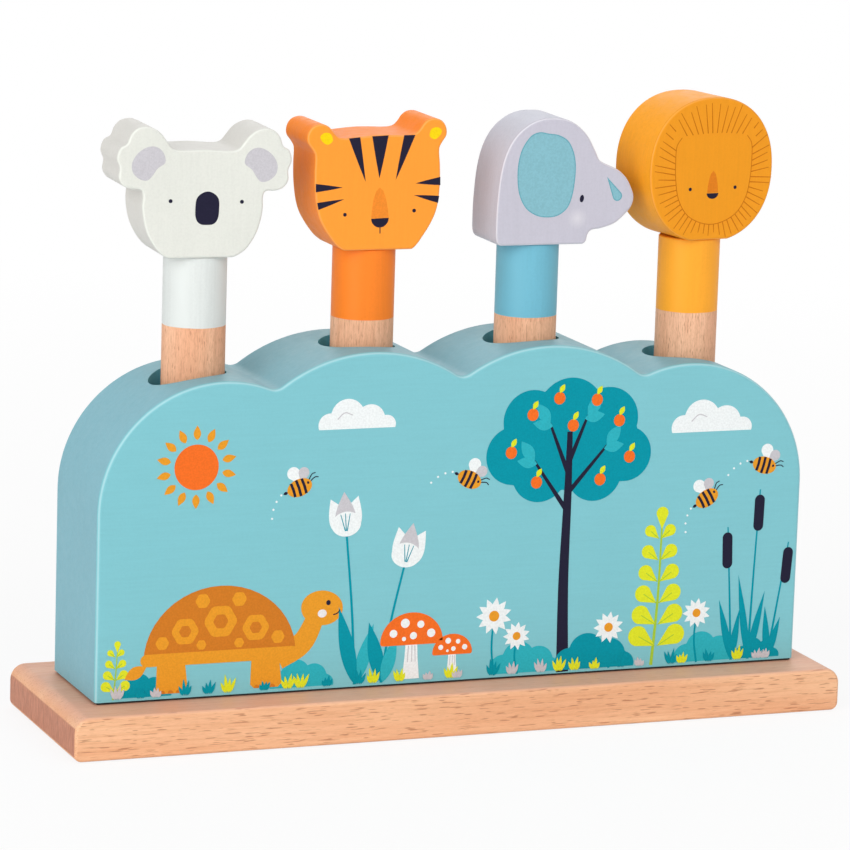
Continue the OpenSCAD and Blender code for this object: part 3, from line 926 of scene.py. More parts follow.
def printShapes(name, shapes, place, marks=()):
    # each shape is (outline, ink, layer); the films are closed plates lying on the face
    inkList = sorted({shape[1] for shape in shapes})
    form = bmesh.new()
    for number, (outline, inkName, layer) in enumerate(shapes):
        for face in addPlate(form, outline, filmHeight(layer, number)):
            face.material_index = inkList.index(inkName)
    piece = newPiece(name, meshFrom(form, name), [inks[i] for i in inkList])
    if marks:
        piece = joinPieces([piece] + list(marks), name)
    piece.data.transform(place)
    return piece


def joinPieces(pieces, name):
    bpy.ops.object.select_all(action="DESELECT")
    for piece in pieces:
        piece.select_set(True)
    bpy.context.view_layer.objects.active = pieces[0]
    bpy.ops.object.join()
    pieces[0].name = name
    return pieces[0]


def marksTree():
    # one small printed shape repeated at points that carry a heading, a length and a width
    tree, given = newGeometryTree("repeatedMarks", [
        ("Geometry", "NodeSocketGeometry"), ("Shape", "NodeSocketObject"), ("Ink", "NodeSocketMaterial")])
    carried = {name: addNode(tree, "GeometryNodeInputNamedAttribute", {"data_type": "FLOAT"}, {"Name": name})
               for name in ("heading", "length", "width")}
    shape = addNode(tree, "GeometryNodeObjectInfo", {"transform_space": "ORIGINAL"}, {
        "Object": given["Shape"]}).outputs["Geometry"]
    angles = addNode(tree, "ShaderNodeCombineXYZ", {}, {"Y": carried["heading"]})
    turn = addNode(tree, "FunctionNodeEulerToRotation", {}, {0: angles})
    scale = addNode(tree, "ShaderNodeCombineXYZ", {}, {
        "X": carried["width"], "Y": 1.0, "Z": carried["length"]})
    placed = addNode(tree, "GeometryNodeInstanceOnPoints", {}, {
        "Points": given["Geometry"], "Instance": shape, "Rotation": turn, "Scale": scale})
    endTree(tree, placed, given["Ink"])
    return tree


repeatTree = marksTree()


def strewMarks(name, outline, inkName, layer, places):
    # places: (x, z, heading in degrees, length, width) in mm; the outline is drawn one unit long
    form = bmesh.new()
    addPlate(form, outline, filmHeight(layer, 0))
    shape = newPiece(name + "Shape", meshFrom(form, name + "Shape"))
    points = bpy.data.meshes.new(name + "Points")
    points.from_pydata([(p[0] * mm, -inkFilm["apart"] * (i % 12) * mm, p[1] * mm)
                        for i, p in enumerate(places)], [], [])
    for key, values in (("heading", [math.radians(p[2]) for p in places]),
                        ("length", [p[3] for p in places]), ("width", [p[4] for p in places])):
        points.attributes.new(key, "FLOAT", "POINT").data.foreach_set("value", values)
    piece = runTree(repeatTree, name, {"Shape": shape, "Ink": inks[inkName]}, points)
    bpy.data.objects.remove(shape)
    return piece


# Shapes one unit long, scaled to each mark's own length and width
unitLine = [(-0.5, 0), (0.5, 0), (0.3, 1), (-0.3, 1)]
unitPetal = [(0.5 * math.sin(math.pi * t ** 0.8) * side, t) for side, tenths in
             ((1, range(11)), (-1, range(9, 0, -1))) for t in (i / 10 for i in tenths)]
unitDot = ellipse(0, 0, 0.5, 0.5, 0, 16)


# Outlines and faces in mm, across from the peg's axis and up from the chin, seen from the front;
# turns and leans in degrees
heads = {
    "thickness": 22, "round": 0.8, "steps": 4,
    "turn": {"koala": -3, "tiger": -0.75, "elephant": -1, "lion": 8},
    "lean": {"koala": -1.4, "tiger": 2, "elephant": 0, "lion": 0}, "chinBlend": 3,
    "off": {"koala": -1.2, "tiger": 0.9, "elephant": 0, "lion": 0.6},
    "lionWidth": 46.4, "lionHeight": 47, "lionFlat": 0.8, "lionPower": 2.2,
}
koalaHalf = [(10, 0), (13.6, 2), (15.9, 4.8), (17.7, 8.2), (18.8, 12), (19.3, 16),
             (19.2, 19.4), (20, 21), (23, 21.2), (25.6, 22.2), (27.1, 24.6), (26.9, 27.7),
             (27.9, 30.6), (27, 33.8), (24.9, 35.2), (23.9, 37.8), (21.9, 39.9), (19.1, 40.6),
             (16.3, 39.9), (14, 38.3), (12.1, 35.9), (10.6, 34.1), (8.4, 33.4), (0, 33.7)]
tigerHalf = [(10.9, 0), (13, 1.3), (15.2, 3.9), (17.5, 7.3), (19.2, 10.7), (20.2, 14.5),
             (20.8, 20.5), (20.8, 26), (20.6, 31), (21.5, 32.9), (23, 35.2), (22.9, 37.7),
             (21.6, 39.7), (19.4, 40.6), (17.2, 40.4), (15.5, 39.3), (14.1, 37.5), (12.6, 36.2),
             (10, 35.8), (5, 36.1), (0, 36.3)]
elephantPoints = [(14.4, 0), (15.7, 1), (16.2, 3), (17.4, 4.4), (20.5, 4.9), (25.2, 6.4),
                  (28.4, 8.9), (30.9, 11.8), (31.6, 15), (30.6, 18), (28.8, 21.1), (26, 23.6),
                  (22.6, 25.2), (19.5, 26.8), (18, 29.6), (14.9, 34.9), (11.2, 38.3), (7.2, 40.2),
                  (3.4, 40.6), (-0.4, 40.4), (-5, 38.7), (-9.6, 34.8), (-12.6, 29.4), (-14.3, 22.6),
                  (-15.1, 14), (-15.3, 6), (-14.9, 1.3), (-13.2, 0)]


def lionOutline(sizes, steps=144):
    def power(value):
        return math.copysign(abs(value) ** (2 / sizes["lionPower"]), value)

    high = sizes["lionHeight"]
    start = -math.asin((1 - 2 * sizes["lionFlat"] / high) ** (sizes["lionPower"] / 2))
    loop = []
    for i in range(steps + 1):
        a = start + (math.pi - 2 * start) * i / steps
        loop.append(Vector((sizes["lionWidth"] / 2 * power(math.cos(a)),
                            high / 2 * (1 + power(math.sin(a))) - sizes["lionFlat"])))
    return loop


def leant(animal, outline):
    # the outline leans with the head, while the chin stays flat on the peg
    slope = math.sin(math.radians(heads["lean"][animal]))
    return [Vector((x - z * slope, z + x * slope * min(1, z / heads["chinBlend"]))) for x, z in outline]


def headOutline(animal, sizes):
    if animal == "lion":
        return lionOutline(sizes)
    points = {"koala": bothSides(koalaHalf), "tiger": bothSides(tigerHalf),
              "elephant": elephantPoints}[animal]
    return leant(animal, [p for p in smoothLoop(points, sizes["steps"]) if p.y >= -0.001])


# The paint around a head, and the paler or warmer coat that is printed on its front
facePaints = {
    "koala": satinPaint("satinEnamelKoala", colours["koalaPaint"], "Z", fibres=0.2),
    "tiger": satinPaint("satinEnamelTiger", colours["tigerPaint"], "Z"),
    "elephant": satinPaint("satinEnamelElephant", colours["elephantPaint"], "Z"),
    "lion": satinPaint("satinEnamelLion", colours["lionPaint"], "Z", arrisHighlight=0.03),
}
faceFronts = {
    "koala": satinPaint("printedFaceKoala", colours["koalaFace"], "Z", fibres=0.2),
    "elephant": satinPaint("printedFaceElephant", colours["elephantFace"], "Z", arrisHighlight=0.3, fibres=0.25),
    "tiger": satinPaint("printedFaceTiger", colours["tigerFace"], "Z", 0.03, 0.48, arrisHighlight=0.06),
    "lion": satinPaint("printedFaceLion", colours["lionFace"], "Z", 0.03, 0.48, arrisHighlight=0.04),
}


def headPlace(animal):
    # on the peg's top, turned and set a little aside as it is glued on
    chin = boxOf(animal + "_peg")[1][2]
    return (Matrix.Translation((pegPlaces[animal] * mm, 0, chin * mm))
            @ Matrix.Rotation(math.radians(heads["turn"][animal]), 4, "Z")
            @ Matrix.Translation((heads["off"][animal] * mm, 0, 0)))


def makeHead(animal, sizes):
    piece = tablet(animal + "Head", headOutline(animal, sizes), sizes["thickness"], sizes["round"], 5,
                   [facePaints[animal], faceFronts[animal]])
    r, depth = pegs["pinRadius"], pegs["pinDepth"]
    cutter = turned("pinHole", [(0, -2), (r, -2), (r, depth), (0, depth)], -sizes["off"][animal],
                    [facePaints[animal]], 48)
    piece = cutAway(piece, [cutter])
    piece.name = animal + "Head"
    piece.data.transform(headPlace(animal))
    softenEdges(piece, 38)
    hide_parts(animal + "_head")
    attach(piece, animal + "_peg")


for animal in animals:
    makeHead(animal, heads)
print("heads made")


def mirrorShape(outline):
    return [(-x, z) for x, z in outline]


def eyePair(middle, eye):
    x, z, r = eye
    return [(ellipse(middle + side * x, z, r, r), "navy", 0) for side in (1, -1)]


def muzzle(sizes, bridgeInk):
    # a bridge in a darker ink, and a nose that is flat on top
    x, z, wide, high = sizes["nose"]
    bridge = [(x + u, v) for u, v in bothSides(sizes["bridgeHalf"])]
    nose = [(u, 2 * z - v) for u, v in dome(x, z, wide, high)]
    return [(bridge, bridgeInk, 0), (nose, "navy", 1)]


def facePlace(animal):
    return headPlace(animal) @ Matrix.Translation((0, -heads["thickness"] / 2 * mm, 0))


koalaFace = {"across": 0.9, "eye": (11.4, 17.7, 0.62), "nose": (1.3, 15.6, 3.8, 5.2), "squared": 0.13}
koalaInnerEar = [(12.7, 29.6), (13.2, 32.3), (14.8, 34), (16.9, 34.6), (19.4, 33.9), (21.8, 32),
                 (23.2, 29.2), (22.8, 26.4), (20.6, 24.4), (18.2, 24), (16.8, 25.2), (15, 27.8)]


def koalaShapes(sizes, steps=48):
    # a nose with a round top and a fuller, flatter lower end
    cx, cz, rx, rz = sizes["nose"]
    nose = []
    for i in range(steps):
        a = 2 * math.pi * i / steps
        squared = 1 + sizes["squared"] * math.sin(2 * a) ** 2
        lower = squared if math.sin(a) < 0 else 1
        nose.append((cx + rx * squared * math.cos(a), cz + rz * math.sin(a) * lower))
    ear = [tuple(p) for p in smoothLoop(koalaInnerEar, 4)]
    shapes = [(ear, "grey", 0), (mirrorShape(ear), "grey", 0), (nose, "navy", 0)]
    return shapes + eyePair(sizes["across"], sizes["eye"])


# A stripe is two corners on the head's edge, then the point
tigerFace = {
    "across": 0.4, "eye": (11.5, 11.9, 0.6), "nose": (0.1, 10.1, 2.9, 2.9),
    "mouth": [(0.1, 7.6), (0.1, 5.3)], "mouthWide": 0.35, "mouthNarrow": 0.3,
    "bridgeHalf": [(2.9, 10.2), (2.6, 13), (2.1, 16), (1.2, 18.7), (0, 19.8)],
    "spot": [(-2, -1.2), (-0.4, -2.2), (1.3, -1.2), (2, 0.4), (0.8, 1.5), (-1.1, 1.3), (-1.9, 0.2)],
    "leftSpot": (-17.4, 36.4), "rightSpot": (18.8, 36.3), "swell": 0.08,
    "stripes": [((8.3, 35.9), (12, 35.8), (5.4, 21.9)), ((-6.3, 36.0), (-10, 35.8), (-4.6, 21.9)),
                ((-2.3, 36.1), (3.1, 36.1), (0, 22.8)), ((20.3, 22.1), (20.3, 19.5), (12, 20.5)),
                ((19.9, 16.1), (19.5, 13.9), (11.4, 16.8)), ((-21, 22.1), (-21, 19.5), (-12.2, 20.5)),
                ((-20.6, 16.1), (-20.2, 13.9), (-11.7, 16.8))],
}


def tigerShapes(sizes):
    shapes = muzzle(sizes, "tigerBridge") + eyePair(0, sizes["eye"])
    shapes.append((ribbon(sizes["mouth"], sizes["mouthWide"], sizes["mouthNarrow"]), "navy", 0))
    for a, b, tip in sizes["stripes"]:
        shapes.append((stripeShape(a, b, tip, sizes["swell"]), "navy", 0))
    spot = smoothLoop(sizes["spot"], 4)
    for side, (x, z) in ((-1, sizes["leftSpot"]), (1, sizes["rightSpot"])):
        shapes.append(([(x + side * p.x, z + p.y) for p in spot], "earYellow", 0))
    return [([(u + sizes["across"], v) for u, v in outline], inkName, layer)
            for outline, inkName, layer in shapes]


def stripeShape(a, b, tip, swell, steps=8):
    # long sides that swell a little before the point
    middle = (Vector(a) + Vector(b)) / 2
    shape = []
    for start, end in ((a, tip), (tip, b)):
        for i in range(steps):
            t = i / steps
            p = Vector(start).lerp(Vector(end), t)
            out = p - middle.lerp(Vector(tip), t if start == a else 1 - t)
            if out.length > 0:
                p += out.normalized() * swell * math.sin(math.pi * t)
            shape.append(tuple(p))
    return shape + [b]


# The mark on the trunk is a drop from its tip to a round, in the line's ink and again smaller inside it
elephantFace = {"eye": (13.6, 14.7, 0.7, 1.2), "cheek": (12.3, 8.4, 3.6), "blush": 0.4, "tip": (22, 21.5),
                "round": (25.8, 15.3, 1.6), "inside": 0.78, "overhang": 0.25, "line": 0.36}
elephantEar = [(-4.5, 35), (-1.6, 36.2), (1.6, 35.7), (4.9, 35.2), (8.1, 33.4), (10.2, 29.8), (11.1, 25.5),
               (11, 20.6), (10.3, 15.8), (8.8, 11.9), (6, 9.6), (2.9, 8.9), (-1.4, 9.4), (-5.3, 11.8),
               (-7.7, 16), (-8.6, 21), (-8.5, 26.3), (-7.3, 31)]


def elephantShapes(sizes, steps=24):
    ear = smoothLoop(elephantEar, 4)
    x, z, rx, rz = sizes["eye"]
    cx, cz, cr = sizes["cheek"]
    tx, tz = sizes["tip"]
    bx, bz, br = sizes["round"]
    # the ear's points run clockwise, so that inwards is the other way
    shapes = [(ear, "earLine", 0), (drawnIn(ear, -sizes["line"]), "earAqua", 1),
              (ellipse(x, z, rx, rz, -8), "navy", 0)]
    cheekPlace = facePlace("elephant") @ Vector((cx * mm, 0, cz * mm))
    addBlush(faceFronts["elephant"], cheekPlace, cr, colours["cheek"], sizes["blush"])
    heading = math.atan2(bx - tx, bz - tz)
    first, sweep = heading - math.pi / 2 - sizes["overhang"], math.pi + 2 * sizes["overhang"]
    for size, inkName, layer in ((1.0, "earLine", 0), (sizes["inside"], "earAqua", 1)):
        trunkMark = [(tx + (bx - tx) * (1 - size), tz + (bz - tz) * (1 - size))]
        for i in range(steps + 1):
            a = first + sweep * i / steps
            trunkMark.append((bx + br * size * math.sin(a), bz + br * size * math.cos(a)))
        shapes.append((trunkMark, inkName, layer))
    return shapes


lionFace = {
    "across": 0.45, "eye": (8.55, 16.8, 0.58), "nose": (0.45, 15.2, 2.2, 1.8), "ear": (13.6, 33.9, 2.2),
    "strokes": 54, "lineWidth": 0.37, "rimShare": 0.7, "edgeGap": 0.8, "raggedEnd": 2, "raggedTurn": 4,
    "fanFrom": (0, 20), "seed": 5,
    "bridgeHalf": [(2.0, 15.4), (1.9, 17.4), (1.5, 19.6), (0.9, 21.5), (0, 22.5)],
    "inner": [(0, 5.1), (5.4, 6.2), (9.8, 8.9), (12.9, 13.8), (14.2, 20), (14.5, 26), (14.2, 31),
              (12.4, 33.6), (8.3, 34.3), (0, 34.7)],
}


def lionShapes(sizes):
    # a thin line runs round the face but leaves its top open
    middle = sizes["across"]
    cheek = sizes["inner"][:-2]
    rim = [(middle + u, v) for u, v in mirrorShape(cheek[::-1]) + cheek[1:]]
    thin = sizes["lineWidth"] * sizes["rimShare"]
    shapes = muzzle(sizes, "lionBridge") + eyePair(middle, sizes["eye"])
    return shapes + [(ribbon(rim, thin, thin), "maneLine", 0)]


def crossing(loop, origin, direction):
    # how far from the origin a ray last meets the loop
    best = None
    for a, b in zip(loop, loop[1:] + loop[:1]):
        a, b = Vector(a), Vector(b)
        e = b - a
        det = direction.x * -e.y + direction.y * e.x
        if abs(det) < 1e-9:
            continue
        w = a - origin
        t = (w.x * -e.y + w.y * e.x) / det
        s = (direction.x * w.y - direction.y * w.x) / det
        if t > 0 and 0 <= s <= 1 and (best is None or t > best):
            best = t
    return best


def maneStrokes(sizes):
    # lines that fan out from the face to just inside the rim, round two small ears
    random.seed(sizes["seed"])
    inner = [tuple(p) for p in smoothLoop(bothSides(sizes["inner"]), 6)]
    outer = [tuple(p) for p in lionOutline(heads)]
    middle = Vector(sizes["fanFrom"])
    ex, ez, er = sizes["ear"]
    places = []
    for i in range(sizes["strokes"]):
        a = 2 * math.pi * (i + 0.5) / sizes["strokes"]
        direction = Vector((math.sin(a), math.cos(a)))
        start = crossing(inner, middle, direction)
        for side in (1, -1):
            centre = Vector((side * ex, ez))
            nearest = (centre - middle).dot(direction)
            miss = ((centre - middle) - direction * nearest).length
            if nearest > 0 and miss < er:
                start = max(start, nearest + math.sqrt(er * er - miss * miss))
        end = crossing(outer, middle, direction) - sizes["edgeGap"] - random.uniform(0, sizes["raggedEnd"])
        p = middle + direction * start + Vector((sizes["across"], 0))
        heading = math.degrees(a) + random.uniform(-sizes["raggedTurn"], sizes["raggedTurn"])
        if end - start > 1:
            places.append((p.x, p.y, heading, end - start, sizes["lineWidth"]))
    return strewMarks("maneStrokes", unitLine, "maneLine", 0, places)


def makeFaces():
    drawn = {"koala": koalaShapes(koalaFace), "tiger": tigerShapes(tigerFace),
             "elephant": elephantShapes(elephantFace), "lion": lionShapes(lionFace)}
    for animal, shapes in drawn.items():
        shapes = [(leant(animal, outline), inkName, layer) for outline, inkName, layer in shapes]
        marks = [maneStrokes(lionFace)] if animal == "lion" else []
        piece = printShapes(animal + "FacePrint", shapes, facePlace(animal), marks)
        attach(piece, animal + "_peg")


makeFaces()
print("faces printed")


def envelope(x, z, discs, start=0, end=180, steps=72):
    # the outer edge of overlapping discs, seen from one point inside them
    loop = []
    for i in range(steps + (0 if end - start == 360 else 1)):
        a = math.radians(start + (end - start) * i / steps)
        ray = Vector((math.cos(a), math.sin(a)))
        reach = 0.1
        for cx, cz, r in discs:
            near = Vector((cx, cz)).dot(ray)
            missSquared = cx * cx + cz * cz - near * near
            if missSquared < r * r:
                reach = max(reach, near + math.sqrt(r * r - missSquared))
        loop.append((x + ray.x * reach, z + ray.y * reach))
    return loop


def capsule(x0, z0, x1, z1, width, steps=10):
    # a bar with round ends
    a, b = Vector((x0, z0)), Vector((x1, z1))
    along = (b - a).normalized()
    heading = math.atan2(along.y, along.x)
    loop = []
    for centre, first in ((b, heading - math.pi / 2), (a, heading + math.pi / 2)):
        for i in range(steps + 1):
            t = first + math.pi * i / steps
            loop.append((centre.x + width / 2 * math.cos(t), centre.y + width / 2 * math.sin(t)))
    return loop


def shellPlate(x, z, r):
    # a hexagon with soft corners
    corners = []
    for i in range(6):
        a, b = (math.radians(60 * k) for k in (i, i + 1))
        p, q = Vector((math.cos(a), math.sin(a))) * r, Vector((math.cos(b), math.sin(b))) * r
        corners += [(x + v.x, z + v.y) for v in (p.lerp(q, 0.14), p.lerp(q, 0.5), p.lerp(q, 0.86))]
    return [tuple(v) for v in smoothLoop(corners, 3)]


def drop(x, z, heading, length, width, steps=16):
    # pointed at x, z and round at the far end
    c, s = math.cos(math.radians(heading)), math.sin(math.radians(heading))
    r = width / 2
    loop = [(0, 0)]
    for i in range(steps + 1):
        a = math.radians(-15 + 210 * i / steps)
        loop.append((r * math.cos(a), length - r + r * math.sin(a)))
    return [(x + u * c + v * s, z - u * s + v * c) for u, v in loop]


# The picture on the front: a garden in flat inks, in mm from the middle of the block and
# up from the board. Layers lie on one another, 0 lowest.
garden = {"tree": (37, 76), "tortoise": (-79, 13), "sun": (-88, 74), "rays": 14, "rayAway": 8.6,
          "petals": 11, "tufts": 30, "grassReach": 116, "seed": 11,
          "bees": [(-54, 66, 20), (3, 66, -25), (86, 56, 30), (106, 66, -15)],
          "clouds": [(-36, 84, 1.0), (86, 78, 1.1)],
          "mushrooms": [(-15, 1.0), (-1, 0.64)], "tulips": [(-34, 50, -4), (-25, 39, 7)],
          "sprigs": [(70, 47, 1.0), (-113, 17, 0.5)], "rushes": [(97, 34, -3), (103, 46, 2), (110, 28, 6)],
          "daisies": [(13, 21, 4.2), (21, 14, 3.2), (53, 15, 3.6), (84, 18, 3.4)]}


def treeShapes(x, z):
    crown = [(0, 10, 11.5), (-13, 8, 10), (13, 7.5, 10.5), (-19, -3, 9.5), (19.5, -4, 9), (-10, -9, 9.5),
             (9, -9.5, 9.5), (0, 0, 15)]
    shapes = [(envelope(x, z, crown, 0, 360, 180), "teal", 1),
              (ribbon([(x + 0.3, 1.2), (x - 0.4, 30), (x, z - 16), (x, z + 4)], 4.2, 1.8), "navy", 2)]
    for side, low, reach, high in ((-1, z - 22, 12, z - 5), (1, z - 16, 13, z - 1), (-1, z - 10, 7, z + 7),
                                   (1, z - 6, 6, z + 9)):
        twig = ribbon([(x, low), (x + side * reach * 0.55, low + (high - low) * 0.55),
                       (x + side * reach, high)], 1.6, 0.8)
        shapes.append((twig, "navy", 2))
        shapes.append((leaf(x + side * reach, high, side * 35, 8, 4, 0.9), "sea", 3))
        shapes.append((leaf(x + side * (reach - 1), high - 1, side * 80, 7, 3.6, 0.9), "sea", 3))
    for u, v in ((-20, -2), (-13, 10), (-4, 15), (9, 14), (17, 7), (21, -5), (11, -12), (-11, -12),
                 (1, 6)):
        shapes.append((ellipse(x + u, z + v, 1.9, 2), "orange", 4))
        shapes.append((leaf(x + u, z + v + 1.7, 30, 3.2, 1.7), "lime", 4))
    return shapes


def tortoiseShapes(x, z):
    shapes = [(leaf(x - 24, z - 1.5, -118, 8, 4), "mustard", 1),
              (ribbon([(x + 19, z - 1), (x + 27, z + 3), (x + 31.5, z + 11)], 8.5, 6), "mustard", 1),
              (ellipse(x + 33.5, z + 14, 7, 5.6, -8), "mustard", 1),
              (dome(x, z, 25, 23), "amber", 2),
              (capsule(x - 24, z + 0.3, x + 24, z + 0.3, 4), "mustard", 3)]
    for u in (-16, 15):
        foot = [(-4.6, -1), (-4.8, -9.4), (-3.6, -10.6), (4.4, -10.6), (5.6, -9.4), (4.6, -1)]
        shapes.append(([(x + u + a, z + b) for a, b in foot], "mustard", 1))
        shapes += [(dome(x + u - 2.6 + 2.6 * i, z - 10.6, 0.9, 1.1, 8), "amber", 2) for i in range(3)]
    for u, v, r in ((0, 11.6, 5.6), (-11.6, 9, 4.6), (11.6, 9, 4.6), (-6, 18.4, 2.5), (6, 18.4, 2.5),
                    (-19, 5.6, 2.3), (19, 5.6, 2.3), (-6.2, 4.4, 1.7), (6.2, 4.4, 1.7)):
        shapes.append((shellPlate(x + u, z + v, r), "mustard", 3))
        if r > 4:
            shapes.append((shellPlate(x + u, z + v, r * 0.45), "amber", 4))
    smile = ribbon([(x + 37.3, z + 11.6), (x + 38.6, z + 12), (x + 39.6, z + 13.1)], 0.4, 0.35)
    return shapes + [(ellipse(x + 35.6, z + 15.6, 0.75, 0.85), "navy", 2),
                     (ellipse(x + 33.6, z + 12.2, 1.5, 1.3), "cheek", 2), (smile, "navy", 2)]


def beeShapes(x, z, turn):
    c, s = math.cos(math.radians(turn)), math.sin(math.radians(turn))

    def place(outline):
        return [(x + u * c - v * s, z + u * s + v * c) for u, v in outline]

    shapes = [(place(drop(0.4, 1, -12, 6.2, 4.2)), "white", 0),
              (place(drop(0.8, 1, 34, 5.4, 3.6)), "grey", 1),
              (place(ellipse(0, 0, 4.2, 2.8)), "mustard", 2), (place(leaf(-4, 0, -90, 1.7, 1)), "navy", 1),
              (place(ribbon([(3.6, 1.2), (5.2, 2.6), (6.4, 2.6)], 0.35, 0.3)), "navy", 0),
              (place(ribbon([(3.9, 0.6), (5.8, 1.3), (6.9, 0.9)], 0.35, 0.3)), "navy", 0)]
    for u in (-2.3, -0.4, 1.5):
        half = 2.8 * math.sqrt(1 - (u / 4.2) ** 2)
        bar = [(u - 0.45, -half * 0.97), (u + 0.45, -half * 0.97), (u + 0.6, 0),
               (u + 0.45, half * 0.97), (u - 0.45, half * 0.97), (u - 0.3, 0)]
        shapes.append((place(bar), "navy", 3))
    return shapes + [(place(ellipse(3.1, 0.5, 0.38, 0.45)), "navy", 3)]


def mushroomShapes(x, size):
    def at(u, v):
        return (x + u * size, 2.2 + v * size)

    stalk = [at(-2.9, 0), at(-2.2, 7), at(-1.9, 13), at(1.9, 13), at(2.2, 7), at(2.9, 0)]
    cx, cz = at(0, 12)
    shapes = [(stalk, "white", 1), (dome(cx, cz, 10.6 * size, 9.6 * size), "orange", 2),
              (capsule(cx - 9.6 * size, cz, cx + 9.6 * size, cz, 1.9 * size), "orange", 2)]
    for u, v, r in ((-6.2, 3, 1.3), (-2.3, 6.2, 1.5), (3, 5.6, 1.2), (6.6, 2.6, 1.4), (0.6, 2, 1.2),
                    (-2.6, 1.1, 0.7)):
        shapes.append((ellipse(cx + u * size, cz + v * size, r * size, r * size, 0, 20), "white", 3))
    for u in (-1, 0.2, 1.2):
        shapes.append((ribbon([at(u, 10.8), at(u * 1.2, 5.5)], 0.35 * size, 0.25 * size), "grey", 2))
    return shapes


def tulipShapes(x, high, lean):
    tip = x + lean
    shapes = [(ribbon([(x, 1.5), (x + lean * 0.35, high * 0.5), (tip, high + 1)], 0.9, 0.7), "teal", 0),
              (leaf(x, 1.6, -13, high * 0.52, 5, 0.8), "teal", 1),
              (leaf(x + 0.5, 1.6, 16, high * 0.4, 4.4, 0.8), "sea", 1)]
    heading = math.degrees(math.atan2(lean, high))
    for spread, length, inkName, layer in ((-21, 13, "white", 1), (21, 13, "white", 1), (0, 14, "grey", 2)):
        shapes.append((leaf(tip, high, heading + spread, length, 7, 0.72), inkName, layer))
    shapes.append((ellipse(tip + 0.03 * lean, high + 3.6, 4.9, 4, -heading), "white", 3))
    for spread in (-13, 0, 13):
        a = math.radians(heading + spread)
        line = ribbon([(tip + 1.4 * math.sin(a), high + 1.4 * math.cos(a)),
                       (tip + 7 * math.sin(a), high + 7 * math.cos(a))], 0.35, 0.25)
        shapes.append((line, "teal", 4))
    return shapes


def sprigShapes(x, high, size):
    # a stem with round leaves in pairs
    stem = ribbon([(x - 1.5 * size, 1.5), (x, high * 0.5), (x + 0.5, high)], 1.1 * size, 0.6 * size)
    shapes = [(stem, "leaf", 0)]
    pairs = 6 if size > 0.8 else 4
    for i in range(pairs):
        t = (i + 1.1) / (pairs + 0.6)
        wide = size * (7.4 - 3.8 * t)
        for side in (-1, 1):
            base = (x + side * 0.4 * size, high * t)
            heading = side * (62 - 14 * t)
            shapes.append((drop(base[0], base[1], heading, wide * 1.55, wide), "lime", 1))
            a = math.radians(heading)
            vein = ribbon([base, (base[0] + wide * math.sin(a), base[1] + wide * math.cos(a))], 0.3, 0.25)
            shapes.append((vein, "leaf", 2))
    return shapes + [(drop(x + 0.5, high - 0.5, 0, 7.4 * size, 4.2 * size), "lime", 1)]


def rushShapes(x, high, lean):
    tip = x + lean
    shapes = [(ribbon([(x, 1.5), (x + lean * 0.4, high * 0.6), (tip, high + 12)], 0.9, 0.45), "teal", 0),
              (capsule(tip - 0.1 * lean, high, tip, high + 8.5, 3.5), "navy", 1)]
    for side, share in ((-1, 0.62), (1, 0.5)):
        shapes.append((leaf(x, 1.5, side * 11 + lean, high * share, 2.6, 0.7), "teal", 1))
    return shapes


def cloudShapes(x, z, size):
    puffs = [(-8.5, 1.4, 3.8), (-2.6, 4, 5.6), (5, 2.8, 4.8), (10.5, 1, 3)]
    low = [(-9, 0.4, 2.4), (9, 0.4, 2.6), (0, 0, 4)]
    cloud = envelope(x, z, [tuple(v * size for v in disc) for disc in puffs + low], 0, 180)
    return [(cloud, "white", 0),
            (ribbon([(x - 6 * size, z + 3.2 * size), (x - 3.6 * size, z + 5.2 * size),
                     (x - 1 * size, z + 4.4 * size)], 0.4, 0.3), "grey", 1)]


def bushShapes():
    # low bushes along the ground, cut level at the foot
    shapes = []
    for x, size, inkName, layer in ((-52, 1.0, "sea", 0), (-104, 0.85, "teal", 0), (24, 1.15, "sea", 1),
                                    (48, 1.3, "teal", 3), (88, 1.1, "sea", 0), (106, 0.75, "teal", 2)):
        discs = [(-6.5, 1.5, 4), (-1.8, 4.2, 4.8), (4.2, 3, 4.4), (8, 0.8, 3)]
        shapes.append((envelope(x, 1.8, [tuple(v * size for v in disc) for disc in discs]), inkName, layer))
    return shapes


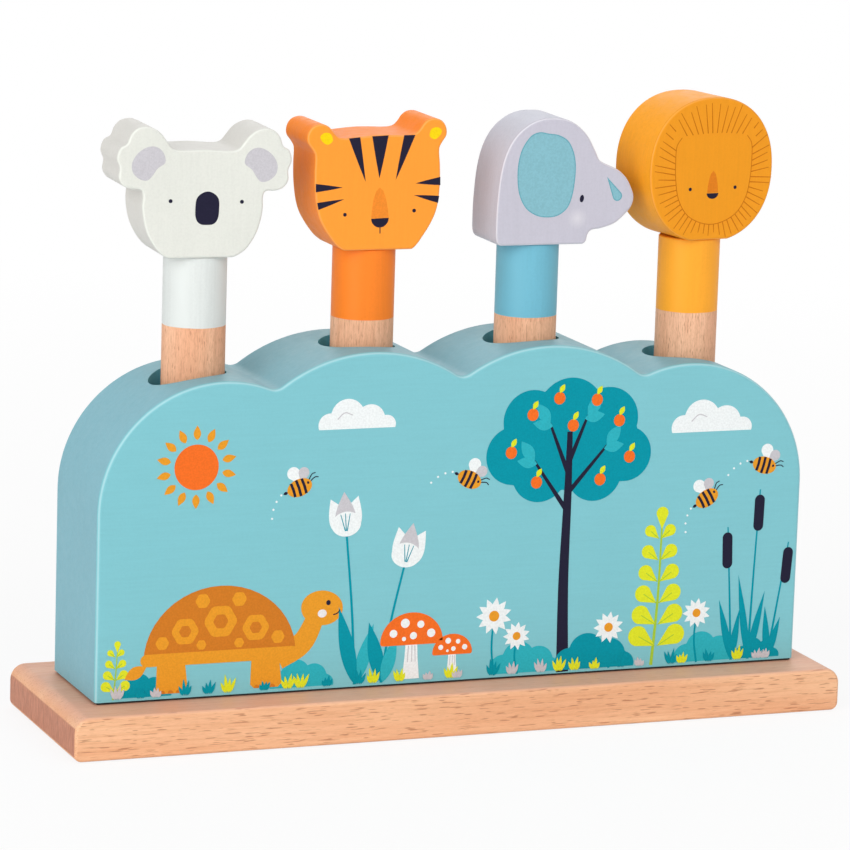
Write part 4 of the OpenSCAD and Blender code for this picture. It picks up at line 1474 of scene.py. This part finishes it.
def gardenMarks(sizes):
    # sun rays, petals, blades of grass and the bees' trails, each one shape that is repeated
    random.seed(sizes["seed"])
    sunX, sunZ = sizes["sun"]
    count, away = sizes["rays"], sizes["rayAway"]
    rays = [(sunX + away * math.sin(a), sunZ + away * math.cos(a), math.degrees(a), 4.6, 2.4)
            for a in (2 * math.pi * i / count for i in range(count))]
    petals = []
    count = sizes["petals"]
    for x, z, r in sizes["daisies"]:
        petals += [(x, z, 360 * i / count + 8, r * 1.45, r * 0.62) for i in range(count)]
    blades = {"teal": [], "lime": [], "grey": []}
    names = list(blades)
    reach, tufts = sizes["grassReach"], sizes["tufts"]
    for i in range(tufts):
        x = -reach + 2 * reach * (i + random.uniform(0.1, 0.9)) / tufts
        name = names[random.randrange(3)]
        tall = random.uniform(3.2, 6.4)
        for lean in (-24, -8, 8, 24):
            blades[name].append((x + lean * 0.03, 1.5, lean + random.uniform(-4, 4),
                                 tall * (1 - abs(lean) / 90) * random.uniform(0.8, 1.1), 1.1))
    dots = []
    for x, z, turn in sizes["bees"]:
        for i in range(4):
            bearing = math.radians(turn + 180 + 9 * i)
            behind = 6.4 + 2.2 * i
            dots.append((x + behind * math.cos(bearing), z + behind * math.sin(bearing), 0, 0.7, 0.7))
    marks = [strewMarks("sunRays", unitPetal, "mustard", 1, rays),
             strewMarks("daisyPetals", unitPetal, "white", 4, petals),
             strewMarks("beeTrails", unitDot, "white", 0, dots)]
    for layer, name in enumerate(names, start=6):
        marks.append(strewMarks("grass_" + name, unitPetal, name, layer, blades[name]))
    return marks


def makeGarden(sizes):
    shapes = treeShapes(*sizes["tree"]) + tortoiseShapes(*sizes["tortoise"]) + bushShapes()
    for key, draw in (("bees", beeShapes), ("mushrooms", mushroomShapes), ("tulips", tulipShapes),
                      ("sprigs", sprigShapes), ("rushes", rushShapes), ("clouds", cloudShapes)):
        for values in sizes[key]:
            shapes += draw(*values)
    sunX, sunZ = sizes["sun"]
    shapes.append((ellipse(sunX, sunZ, 7.2, 7.2), "orange", 1))
    for x, z, r in sizes["daisies"]:
        shapes.append((ribbon([(x + 0.6, 1.5), (x - 0.5, z * 0.5), (x, z)], 0.7, 0.6), "teal", 2))
        shapes.append((ellipse(x, z, r * 0.42, r * 0.42, 0, 24), "mustard", 5))
    low = boxOf("block")[0]
    front = Matrix.Translation((0, low[1] * mm, low[2] * mm))
    piece = printShapes("gardenPrint", shapes, front, gardenMarks(sizes))
    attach(piece, "root")


makeGarden(garden)
print("garden printed")
